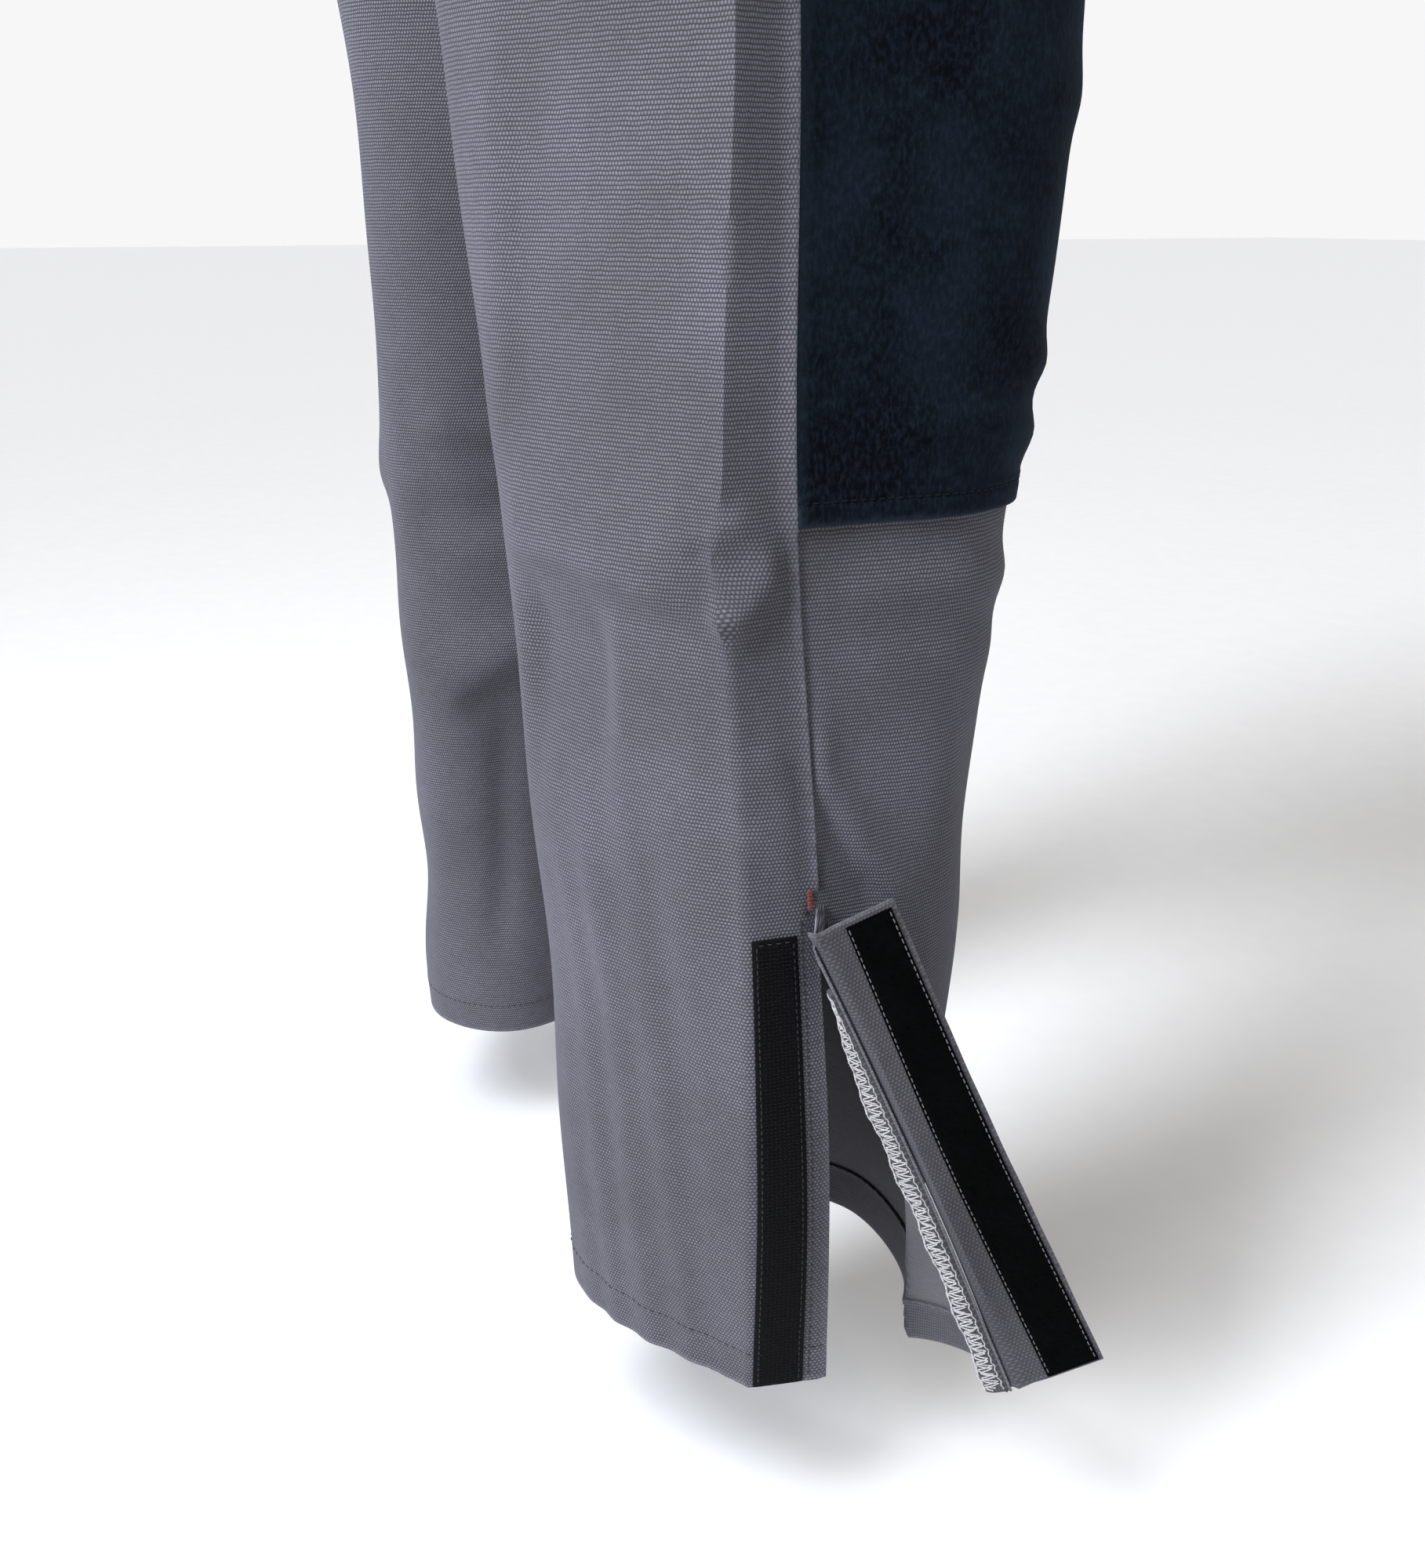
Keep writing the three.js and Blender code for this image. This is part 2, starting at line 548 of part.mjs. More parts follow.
// Suede loops that hold the belt, drawn with x out from the waist and y up.
function keepers() {
  const rise = BELT_WIDTH / 2 + KEEPER_PLAY;
  const bend = rise + 1.5 * SUEDE;
  const tip = bend + KEEPER_FOOT;
  const foot = beltBase;
  const bridge = beltLayer[1] + CLEAR;
  const upper = [[bridge + SUEDE, rise + SUEDE], [foot + SUEDE, bend], [foot + SUEDE, tip], [foot, tip]];
  upper.push([foot, rise], [bridge, rise]);
  const lower = upper.map(([x, y]) => [x, -y]).reverse();
  const outline = [...upper, ...lower];
  for (const [side, sign] of [["right", -1], ["left", 1]])
    for (const [name, turn] of Object.entries(KEEPER_TURNS)) {
      const spot = waistPoint(turn, 0);
      const ahead = waistPoint(turn, 1).sub(spot);
      const loop = extruded(outline, KEEPER_WIDTH).rotateX(Math.PI / 2);
      const keeper = add(garment, `${side}_${name}_keeper`, loop, COLOUR.suede, 1);
      keeper.rotation.z = Math.atan2(-ahead.y, sign * ahead.x);
      keeper.position.set(sign * spot.x, -spot.y, BELT_HEIGHT);
    }
}

// A suede patch across the middle of the front, with four rivets, joins the two halves of the yoke.
function frontPatch() {
  const layer = [suedeLayer[1] + CLEAR, suedeLayer[1] + CLEAR + SUEDE];
  const rows = [UPRIGHT, PATCH_TOP];
  const half = yokePlaces.slice(-3);
  const columns = half.map((place) => [-1, place]).concat([...half].reverse().map((place) => [1, place]));
  const patch = sheetSolid(rows.length - 1, columns.length - 1, (row, column, level) =>
    yokePoint(...columns[column], rows[row], layer[level]),
  );
  add(garment, "front_patch", patch, COLOUR.suede, 1);
  for (const [side, sign] of [["right", -1], ["left", 1]])
    for (const [level, share] of [["lower", 0.2], ["upper", 0.8]]) {
      const at = (out) => yokePoint(sign, 2.8, lerp(rows[0], rows[1], share), out);
      const head = new THREE.CylinderGeometry(RIVET_RADIUS - 1.5, RIVET_RADIUS, RIVET_HEIGHT, 16);
      head.rotateX(Math.PI / 2).translate(0, 0, RIVET_HEIGHT / 2);
      const rivet = add(garment, `${side}_${level}_rivet`, head, COLOUR.steel, 0.35, 1);
      rivet.position.copy(at(layer[1] + 2 * CLEAR));
      const out = at(layer[1] + 10).sub(at(layer[1])).normalize();
      rivet.quaternion.setFromUnitVectors(new THREE.Vector3(0, 0, 1), out);
    }
}

for (const [side, sign] of [["right", -1], ["left", 1]]) {
  legCloth(side, sign);
  hip(side, sign);
}
ankleClosure("right", -1, SWING_OPEN, FLAP_OPEN);
ankleClosure("left", 1, 0, 0);
beltPieces();
keepers();
camBuckle();
frontPatch();

const chaps = new THREE.Group();
chaps.add(garment);
export default chaps;
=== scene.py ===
import json
import math

import bpy
import numpy as np
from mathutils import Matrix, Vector


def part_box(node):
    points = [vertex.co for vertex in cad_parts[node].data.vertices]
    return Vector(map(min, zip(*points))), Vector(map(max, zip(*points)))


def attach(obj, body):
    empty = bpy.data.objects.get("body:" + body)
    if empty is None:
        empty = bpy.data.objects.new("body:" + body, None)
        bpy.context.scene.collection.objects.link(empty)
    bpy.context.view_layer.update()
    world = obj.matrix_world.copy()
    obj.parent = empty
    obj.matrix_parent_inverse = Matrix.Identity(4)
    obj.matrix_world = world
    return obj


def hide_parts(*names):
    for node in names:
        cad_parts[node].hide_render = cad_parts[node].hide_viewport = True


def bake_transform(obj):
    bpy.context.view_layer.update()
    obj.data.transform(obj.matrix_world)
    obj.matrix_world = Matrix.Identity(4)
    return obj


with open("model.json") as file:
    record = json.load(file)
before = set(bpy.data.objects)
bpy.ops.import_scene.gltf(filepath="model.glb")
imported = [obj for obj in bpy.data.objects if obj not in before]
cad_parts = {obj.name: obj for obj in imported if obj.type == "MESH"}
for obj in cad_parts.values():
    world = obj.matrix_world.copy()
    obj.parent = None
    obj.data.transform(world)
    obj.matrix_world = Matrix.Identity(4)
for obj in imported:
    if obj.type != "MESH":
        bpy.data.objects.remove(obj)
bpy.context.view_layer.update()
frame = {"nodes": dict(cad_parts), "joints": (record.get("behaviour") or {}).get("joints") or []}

nodes = frame["nodes"]
joints = {joint["name"]: joint for joint in frame["joints"]}

# Metres. Heights h are counted from the hem; the belt's middle is the frame's origin.
BELT = 0.985
CROTCH = 0.740
SUEDE_EDGE = 0.396
SLIT = 0.240
FLAP_TOP = 0.246
HEM = 0.020
CANVAS = 0.0012
SUEDE = 0.0016
MM = 0.001
SIDES = {"right": -1.0, "left": 1.0}

# share of the crotch height, half depth, half width, shift to the front, centre from the middle,
# turn-out in degrees, and the side seam and pressed crease as shares of the half depth
SECTIONS = np.array([
    [0.00, 0.0855, 0.073, 0.0000, 0.180, 24, 0.457, 0.02],
    [0.16, 0.0910, 0.076, 0.0040, 0.176, 24, 0.385, 0.00],
    [0.34, 0.0970, 0.080, 0.0060, 0.168, 23, 0.265, -0.04],
    [0.54, 0.1080, 0.086, 0.0130, 0.155, 20, 0.080, -0.17],
    [0.76, 0.1235, 0.096, 0.0235, 0.135, 16, -0.015, -0.19],
    [1.00, 0.1320, 0.104, 0.0140, 0.118, 8, -0.050, -0.22],
])
ROUND = [(1.0, -0.05), (0.72, -0.78), (0.05, -1.0), (-0.65, -0.76), (-1, -0.16), (-0.66, 0.47)]
# places round a leg, from the side seam over the front, the inseam and the back's crease to the seam again
INSEAM, CREASE, TURN = 4.0, 8.0, 9.0
SUEDE_REACH = 3.2
FLAP_FAR, HOOK_FROM, HOOK_TO, TACK_FROM, TACK_TO = 8.02, 8.07, 8.69, 8.86, 8.94
random = np.random.default_rng(7)


# ---- small numerical helpers ---------------------------------------------------------------------

def smooth(x, low, high):
    t = np.clip((x - low) / (high - low), 0, 1)
    return t * t * (3 - 2 * t)


def bell(x, width):
    return np.exp(-(x / width) ** 2)


def unit(v):
    return v / np.maximum(np.linalg.norm(v, axis=-1, keepdims=True), 1e-12)


def turned(points, origin, axis, angle):
    """points turned about a line, by one angle or by one angle each."""
    n = unit(np.asarray(axis, float))
    p = points - np.asarray(origin)
    c, s = np.cos(angle), np.sin(angle)
    if np.ndim(angle):
        c, s = c[..., None], s[..., None]
    along = (p @ n)[..., None] * n
    return np.asarray(origin) + p * c + np.cross(n, p) * s + along * (1 - c)


def hermite(table, share):
    """Rows of a table at shares of the height, on a smooth curve through them."""
    x, y = table[:, 0], table[:, 1:]
    slope = np.gradient(y, x, axis=0)
    i = np.clip(np.searchsorted(x, share, side="right") - 1, 0, len(x) - 2)
    step = (x[i + 1] - x[i])[..., None]
    t = ((share - x[i]) / step[..., 0])[..., None]
    a, b, ma, mb = y[i], y[i + 1], slope[i] * step, slope[i + 1] * step
    near = (2 * t**3 - 3 * t**2 + 1) * a + (t**3 - 2 * t**2 + t) * ma
    return near + (3 * t**2 - 2 * t**3) * b + (t**3 - t**2) * mb


def lengths_along(line):
    """The distance along a polyline at each of its points."""
    return np.concatenate([[0], np.cumsum(np.linalg.norm(np.diff(line, axis=0), axis=1))])


def looked_up(at, along, values):
    """Rows of three values at distances along a line."""
    return np.stack([np.interp(at, along, values[:, k]) for k in range(3)], -1)


def grid_area(points):
    rows, columns = points[1:, :-1] - points[:-1, :-1], points[:-1, 1:] - points[:-1, :-1]
    return float(np.linalg.norm(np.cross(rows, columns), axis=-1).sum())


def inside_out(points, quads):
    """Whether a closed mesh of quads encloses a negative volume."""
    a, b, c, d = np.moveaxis(points[quads], 1, 0)
    return np.einsum("ij,ij->", a, np.cross(b, c) + np.cross(c, d)) < 0


def lofted(points):
    """The faces of a closed loft through rings of points, turned to face outwards."""
    rows, cols = points.shape[:2]
    ids = np.arange(rows * cols).reshape(rows, cols)
    n = np.roll(ids, -1, 1)
    quads = np.stack([ids[:-1], n[:-1], n[1:], ids[1:]], -1).reshape(-1, 4)
    faces = quads.tolist() + [ids[0, ::-1].tolist(), ids[-1].tolist()]
    return [face[::-1] for face in faces] if inside_out(points.reshape(-1, 3), quads) else faces


# ---- the leg's surface ---------------------------------------------------------------------------

def outline(place, h, jog=0.0):
    """Side and front distances of the leg's section at a place round it, 0 being the side seam."""
    place, h = np.broadcast_arrays(np.asarray(place, float), np.asarray(h, float))
    place = np.where(place >= TURN, place - TURN, place)
    place = np.where(place < 0, place + TURN, place)
    s = hermite(SECTIONS, np.clip(h / CROTCH, 0, 1))
    depth, width, shift, centre, turn, seam, crease = np.moveaxis(s, -1, 0)
    crease = crease + jog
    knots = [(seam, 0.9), (np.maximum(0.8, seam + 0.2), 0.6), *ROUND, (crease, 1.0)]
    knots = np.stack([np.stack(np.broadcast_arrays(p, q, h), -1)[..., :2] for p, q in knots], -2)
    first = 2 * knots[..., :1, :] - knots[..., 1:2, :]
    last = 2 * knots[..., -1:, :] - knots[..., -2:-1, :]
    k = np.concatenate([first, knots, last], -2)
    i = np.clip(np.floor(place).astype(int), 0, 7)
    w = (np.clip(place, 0, CREASE) - i)[..., None]
    p0, p1, p2, p3 = (np.take_along_axis(k, (i + j)[..., None, None], -2)[..., 0, :] for j in range(4))
    t0, t1 = 0.5 * (p2 - p0), 0.5 * (p3 - p1)
    p = p1 + t0 * w + (3 * (p2 - p1) - 2 * t0 - t1) * w**2 + (2 * (p1 - p2) + t0 + t1) * w**3
    flat = np.clip(place - CREASE, 0, 1)[..., None]
    p = p + (knots[..., 0, :] - p) * np.where(place[..., None] > CREASE, flat, 0)
    x, y = p[..., 0] * depth, p[..., 1] * width
    a = np.radians(turn)
    return x * np.sin(a) + y * np.cos(a) + centre, x * np.cos(a) - y * np.sin(a) + shift


_places = np.linspace(0, TURN, 721)
_side, _front = outline(_places, 0.38)
_run = np.concatenate([[0], np.cumsum(np.hypot(np.diff(_side), np.diff(_front)))])
GIRTH = _run[-1]


def run_of(place):
    """Distance round the leg from the side seam, at knee height."""
    place = np.asarray(place)
    past = np.where(place > TURN, np.interp(place - TURN, _places, _run), 0)
    return np.interp(place, _places, _run) + past


def place_of(run):
    run = np.asarray(run, float)
    return np.interp(run, _run, _places) + np.where(run > GIRTH, np.interp(run - GIRTH, _run, _places), 0)


def stroke(run, h, points, rise, above, below, tip=0.25):
    """A fold along a line of (place, height) points: a rounded rise with its own width on each side."""
    line = np.array([(run_of(a), b) for a, b in points])
    best = np.full(np.shape(run), 9.0)
    value = np.zeros(np.shape(run))
    lengths = np.linalg.norm(np.diff(line, axis=0), axis=1)
    total, done = lengths.sum(), 0.0
    for (a, b), size in zip(zip(line[:-1], line[1:]), lengths):
        d = (b - a) / size
        u = (run - a[0]) * d[0] + (h - a[1]) * d[1]
        v = (h - a[1]) * d[0] - (run - a[0]) * d[1]
        miss = np.hypot(u - np.clip(u, 0, size), v)
        along = (done + np.clip(u, 0, size)) / total
        fade = smooth(along, -0.02, tip) * smooth(1 - along, -0.02, tip)
        here = bell(miss, np.where(v > 0, above, below)) * fade
        value = np.where(miss < best, here, value)
        best = np.minimum(best, miss)
        done += size
    return rise * value


def waves(run, h, seeds, wavelength, height):
    """Broad soft unevenness from a few crossing waves."""
    r = np.random.default_rng(seeds)
    total = 0
    for _ in range(6):
        a = r.uniform(0, math.pi)
        k = r.uniform(0.6, 1.5) * 2 * math.pi / wavelength
        ph = r.uniform(0, 6.3)
        total = total + np.sin(k * (run * math.cos(a) + h * math.sin(a)) + ph)
    return height * total / 2.5


# Folds: their line as (place, height) points, rise, width above, width below and, on long ones, the
# share of the line over which the ends fade.
RIGHT_BACK_FOLDS = [
    ([(6.1, 0.376), (6.77, 0.380), (7.2, 0.376), (7.57, 0.372), (7.9, 0.366)], 6.4 * MM, 0.036, 0.009),
    ([(8.0, 0.404), (8.4, 0.396), (8.7, 0.387), (9.0, 0.382)], 4.6 * MM, 0.008, 0.006),
    ([(7.9, 0.358), (8.2, 0.364), (8.4, 0.370), (8.95, 0.384)], 6.4 * MM, 0.010, 0.007),
    ([(7.86, 0.394), (7.95, 0.378), (8.05, 0.364)], -2.6 * MM, 0.006, 0.007),
    ([(6.66, 0.60), (6.62, 0.56), (6.55, 0.50), (6.45, 0.45), (6.1, 0.395)], 4.2 * MM, 0.010, 0.016, 0.35),
    ([(8.3, 0.318), (8.6, 0.296), (8.95, 0.262)], 2.4 * MM, 0.006, 0.009),
    ([(8.1, 0.285), (8.5, 0.270), (8.95, 0.252)], 2.0 * MM, 0.006, 0.008),
    ([(7.2, 0.330), (7.6, 0.255), (7.8, 0.17), (7.86, 0.07)], 2.4 * MM, 0.016, 0.020, 0.4),
    ([(6.2, 0.300), (6.9, 0.245), (7.3, 0.16), (7.4, 0.06)], 2.2 * MM, 0.014, 0.022, 0.4),
    ([(6.25, 0.342), (6.8, 0.338), (7.25, 0.338)], -9.0 * MM, 0.020, 0.050),
    ([(7.72, 0.345), (7.7, 0.28), (7.75, 0.21)], 1.8 * MM, 0.010, 0.010),
]
RIGHT_FRONT_FOLDS = [
    ([(0.03, 0.371), (0.8, 0.370), (1.6, 0.366), (2.4, 0.362)], 3.4 * MM, 0.010, 0.012),
    ([(0.03, 0.343), (0.9, 0.339), (1.9, 0.335)], 2.2 * MM, 0.012, 0.016),
    ([(0.0, 0.335), (0.06, 0.300), (0.40, 0.262), (0.9, 0.225)], 3.6 * MM, 0.010, 0.008),
    ([(0.0, 0.300), (0.15, 0.272), (0.5, 0.236)], -2.2 * MM, 0.007, 0.007),
    ([(0.2, 0.345), (0.9, 0.29), (1.5, 0.22), (2.0, 0.13)], 3.4 * MM, 0.018, 0.022, 0.4),
    ([(0.3, 0.425), (0.8, 0.432), (1.4, 0.424), (2.2, 0.420)], 3.4 * MM, 0.008, 0.010),
    ([(1.0, 0.458), (1.5, 0.450), (2.3, 0.452)], 3.0 * MM, 0.010, 0.008),
    ([(0.5, 0.56), (1.1, 0.545), (1.8, 0.55)], 2.2 * MM, 0.014, 0.012),
]
LEFT_FOLDS = [
    ([(5.75, 0.222), (5.45, 0.245), (5.05, 0.262), (4.6, 0.275)], 5.5 * MM, 0.012, 0.022),
    ([(5.05, 0.255), (5.12, 0.19), (5.2, 0.10), (5.25, 0.03)], -3.4 * MM, 0.012, 0.012, 0.3),
    ([(6.2, 0.36), (6.9, 0.372), (7.6, 0.365)], 4.4 * MM, 0.024, 0.012),
    ([(4.4, 0.41), (5.1, 0.395), (5.8, 0.40)], 4.2 * MM, 0.020, 0.010),
    ([(4.6, 0.36), (5.3, 0.345), (6.0, 0.35)], -2.6 * MM, 0.014, 0.014),
    ([(0.1, 0.36), (0.9, 0.355), (2.0, 0.352)], 3.4 * MM, 0.012, 0.014),
    ([(0.2, 0.33), (0.9, 0.27), (1.6, 0.20)], 3.2 * MM, 0.014, 0.018, 0.4),
    ([(0.4, 0.43), (1.2, 0.438), (2.1, 0.428)], 3.2 * MM, 0.008, 0.010),
]


def strokes(run, h, folds):
    return sum(stroke(run, h, *fold) for fold in folds)


def fold_right(place, h, run):
    back = (place > 4.5) & (place < 9.05)
    front = (place < 4) | (place > 8.95)
    low = smooth(0.33 - h, 0, 0.12) * smooth(place, 6.2, 6.9) * smooth(7.95 - place, 0, 0.5)
    ripples = np.where(back, low * 0.8 * MM * np.sin((run + 0.09 * h) * 2 * math.pi / 0.024), 0)
    d = strokes(run, h, RIGHT_BACK_FOLDS) + ripples
    return d * back + np.where(front, strokes(run, h, RIGHT_FRONT_FOLDS), 0)


def fold_left(place, h, run):
    flare = (11 * MM * bell(place - 5.1, 0.8) + 5 * MM * bell(place - 6.5, 0.5)) * smooth(0.11 - h, 0, 0.11)
    return strokes(run, h, LEFT_FOLDS) + flare


FOLDS = {"right": fold_right, "left": fold_left}


def bare(side, place, h):
    sign = SIDES[side]
    jog = -0.05 * bell(h - 0.384, 0.018) if side == "right" else 0.0
    across, ahead = outline(place, h, jog)
    z = np.broadcast_to(h, across.shape) - BELT
    return np.stack([sign * across, -ahead, z], -1)


def leg(side, place, h, out=0.0):
    """Points of one leg's cloth, out metres outside the canvas, and the outward directions there."""
    place, h, out = np.broadcast_arrays(*(np.asarray(a, float) for a in (place, h, out)))
    e, g = 0.03, 0.004
    round_ = bare(side, place + e, h) - bare(side, place - e, h)
    up = bare(side, place, np.clip(h + g, 0, 0.75)) - bare(side, place, np.clip(h - g, -0.01, 0.74))
    normal = unit(np.cross(round_, up)) * (1.0 if side == "right" else -1.0)
    run = run_of(place)
    d = FOLDS[side](place, h, run) + waves(run, h, 3 if side == "right" else 4, 0.15, 1.1 * MM)
    d = d * smooth(0.742 - h, 0, 0.03) * smooth(np.minimum(run, np.abs(GIRTH - run)), 0, 10 * MM)
    return bare(side, place, h) + normal * (out + d)[..., None], normal


# ---- from closed to the rest pose -----------------------------------------------------------------

class Closing:
    """An ankle closure, whose cloth is drawn closed and carried to where it lies at rest.

    The share that each point turns follows from where it lies at rest."""

    def __init__(self, side):
        swing, fold = joints[f"{side}_ankle_swing"], joints[f"{side}_flap_fold"]
        self.side = side
        opened = side == "right"
        self.swing_pos, self.swing_axis = np.array(swing["pos_m"]), unit(np.array(swing["axis"], float))
        self.fold_pos, self.fold_axis = np.array(fold["pos_m"]), unit(np.array(fold["axis"], float))
        self.swing = math.radians(swing["range_deg"][1]) if opened else 0.0
        self.fold = math.radians(fold["range_deg"][0]) if opened else 0.0
        tip = leg(side, 0.02, 0.03)[0]
        reach = self.across(tip, self.swing_pos, self.swing_axis)
        rest = self.across(self.turn_corner(tip), self.swing_pos, self.swing_axis)
        self.direction = unit(reach + rest)
        self.start = self.swing_pos - 0.010 * self.direction
        self.end = self.swing_pos + 0.009 * self.direction
        ahead = self.turn_corner(leg(side, 0.0, 0.1)[0]) - self.turn_corner(leg(side, 0.25, 0.1)[0])
        ahead = self.flat(ahead, self.fold_axis)
        free = self.turn_flap(leg(side, 8.2, 0.1)[0])
        out = self.across(free, self.fold_pos, self.fold_axis)
        self.fold_direction = unit(ahead + out)
        self.fold_start = self.fold_pos - 0.003 * self.fold_direction
        self.fold_end = self.fold_pos + 0.004 * self.fold_direction

    def flat(self, v, axis):
        return unit(v - (v @ axis) * axis)

    def across(self, point, origin, axis):
        return self.flat(point - origin, axis)

    def turn_corner(self, p, share=1.0):
        return turned(p, self.swing_pos, self.swing_axis, -self.swing * share)

    def turn_flap(self, p, share=1.0):
        return turned(self.turn_corner(p), self.fold_pos, self.fold_axis, -self.fold * share)

    def settle(self, points, move, start, end):
        """Each point moved by the share that a blend from start to end gives it at the place it comes to."""
        shape = points.shape
        p = points.reshape(-1, 3)
        low, high = np.zeros(len(p)), np.ones(len(p))
        d = end - start
        for _ in range(26):
            share = (low + high) / 2
            t = np.clip(((move(p, share) - start) @ d) / (d @ d), 0, 1)
            more = t * t * (3 - 2 * t) > share
            low, high = np.where(more, share, low), np.where(more, high, share)
        share = np.where((move(p, 0 * low) - start) @ d > 0, (low + high) / 2, 0)
        return move(p, share).reshape(shape)

    def corner(self, points):
        return self.settle(points, self.turn_corner, self.start, self.end) if self.swing else points

    def flap(self, points):
        return self.settle(points, self.turn_flap, self.fold_start, self.fold_end) if self.fold else points

    def blend_corner(self, piece):
        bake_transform(piece)

    def blend_flap(self, piece):
        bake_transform(piece)


# ---- materials -----------------------------------------------------------------------------------

class Nodes:
    """Short calls for building a node tree."""

    def __init__(self, name):
        self.material = bpy.data.materials.new(name)
        self.material.use_nodes = True
        self.tree = self.material.node_tree
        self.shader = self.tree.nodes["Principled BSDF"]

    def add(self, kind, **values):
        node = self.tree.nodes.new(kind)
        for key, value in values.items():
            setattr(node, key, value)
        return node

    def put(self, value, socket):
        if isinstance(value, bpy.types.NodeSocket):
            self.tree.links.new(value, socket)
        else:
            socket.default_value = value

    def math(self, operation, *values):
        node = self.add("ShaderNodeMath", operation=operation)
        for value, socket in zip(values, node.inputs):
            self.put(value, socket)
        return node.outputs[0]

    def scaled(self, vector, scale):
        node = self.add("ShaderNodeVectorMath", operation="MULTIPLY")
        self.put(vector, node.inputs[0])
        node.inputs[1].default_value = scale
        return node.outputs[0]

    def noise(self, vector, scale=1.0, detail=2.0, rough=0.5):
        node = self.add("ShaderNodeTexNoise")
        self.put(vector, node.inputs["Vector"])
        node.inputs["Scale"].default_value = scale
        node.inputs["Detail"].default_value = detail
        node.inputs["Roughness"].default_value = rough
        return node.outputs["Fac"]

    def mix(self, share, a, b):
        node = self.add("ShaderNodeMix", data_type="RGBA")
        self.put(share, node.inputs[0])
        self.put(a, node.inputs[6])
        self.put(b, node.inputs[7])
        return node.outputs[2]

    def range(self, value, a, b, c, d):
        node = self.add("ShaderNodeMapRange")
        for item, socket in zip((value, a, b, c, d), node.inputs):
            self.put(item, socket)
        return node.outputs[0]

    def bump(self, height, distance, strength=1.0, below=None):
        node = self.add("ShaderNodeBump")
        node.inputs["Distance"].default_value = distance
        node.inputs["Strength"].default_value = strength
        self.put(height, node.inputs["Height"])
        if below is not None:
            self.put(below, node.inputs["Normal"])
        return node.outputs[0]

    def cloth(self):
        """The cloth's own coordinates in metres, u round and v up."""
        node = self.add("ShaderNodeUVMap", uv_map="cloth")
        parts = self.add("ShaderNodeSeparateXYZ")
        self.tree.links.new(node.outputs[0], parts.inputs[0])
        return node.outputs[0], parts.outputs[0], parts.outputs[1]

    def wear(self):
        return self.add("ShaderNodeAttribute", attribute_name="wear").outputs["Fac"]

    def place(self):
        return self.add("ShaderNodeTexCoord").outputs["Object"]

    def set(self, **values):
        for key, value in values.items():
            self.put(value, self.shader.inputs[key.replace("_", " ")])
        return self.material


def rgb(r, g, b):
    """A colour from its 0-255 display values."""
    def linear(c):
        c /= 255
        return c / 12.92 if c <= 0.04045 else ((c + 0.055) / 1.055) ** 2.4
    return (linear(r), linear(g), linear(b), 1.0)


def canvas_material(name, light, dark, gap, soft=0.0, across=0.72 * MM, along=1.6 * MM):
    """Heavy plain-weave canvas: rows of thick staggered floats with dark gaps between them."""
    n = Nodes(name)
    uv, u, v = n.cloth()
    drift = n.math("MULTIPLY", n.math("SUBTRACT", n.noise(uv, 160, 1), 0.5), 0.9 * MM)
    u2, v2 = n.math("ADD", u, drift), n.math("SUBTRACT", v, drift)
    cu = n.math("COSINE", n.math("MULTIPLY", u2, math.pi / across))
    cv = n.math("COSINE", n.math("MULTIPLY", v2, math.pi / along))
    rows = n.math("MULTIPLY", cv, cv)
    stagger = n.math("MULTIPLY", cu, n.range(cv, -0.4, 0.4, -1, 1))
    floats = n.range(stagger, -1, 1, 0.16, 1)
    weave = n.math("MULTIPLY", n.math("POWER", rows, 0.55), floats)
    slub = n.noise(n.scaled(uv, (150, 900, 1)), 1, 2)
    warp = n.noise(n.scaled(uv, (1100, 120, 1)), 1, 2)
    yarn = n.math("ADD", n.math("MULTIPLY", slub, 0.6), n.math("MULTIPLY", warp, 0.4))
    patch = n.noise(n.place(), 9, 4, 0.6)
    tone = n.mix(n.range(patch, 0.35, 0.65, 0, 1), light, dark)
    tone = n.mix(n.range(yarn, 0.35, 0.65, 0.0, 0.30), tone, gap)
    tone = n.mix(n.range(weave, 0.0, 0.8, 0.92 - 0.6 * soft, 0.0), tone, gap)
    fade = n.math("MULTIPLY", n.wear(), n.range(n.noise(uv, 300, 3), 0.3, 0.7, 0.05, 0.35))
    tone = n.mix(fade, tone, tuple(min(1, 1.5 * c + 0.03) for c in light[:3]) + (1,))
    height = n.math("ADD", n.math("MULTIPLY", weave, 0.8), n.math("MULTIPLY", yarn, 0.5))
    fuzz = n.bump(n.noise(uv, 2600, 2), 0.12 * MM, 0.25 + 0.5 * soft)
    relief = n.bump(height, 0.34 * MM, 0.95 - 0.5 * soft, fuzz)
    rough = n.range(weave, 0, 1, 0.98, 0.84)
    return n.set(Base_Color=tone, Roughness=rough, Normal=relief, Sheen_Weight=0.12, Sheen_Roughness=0.5,
                 Sheen_Tint=(0.72, 0.75, 0.92, 1), Specular_IOR_Level=0.25)


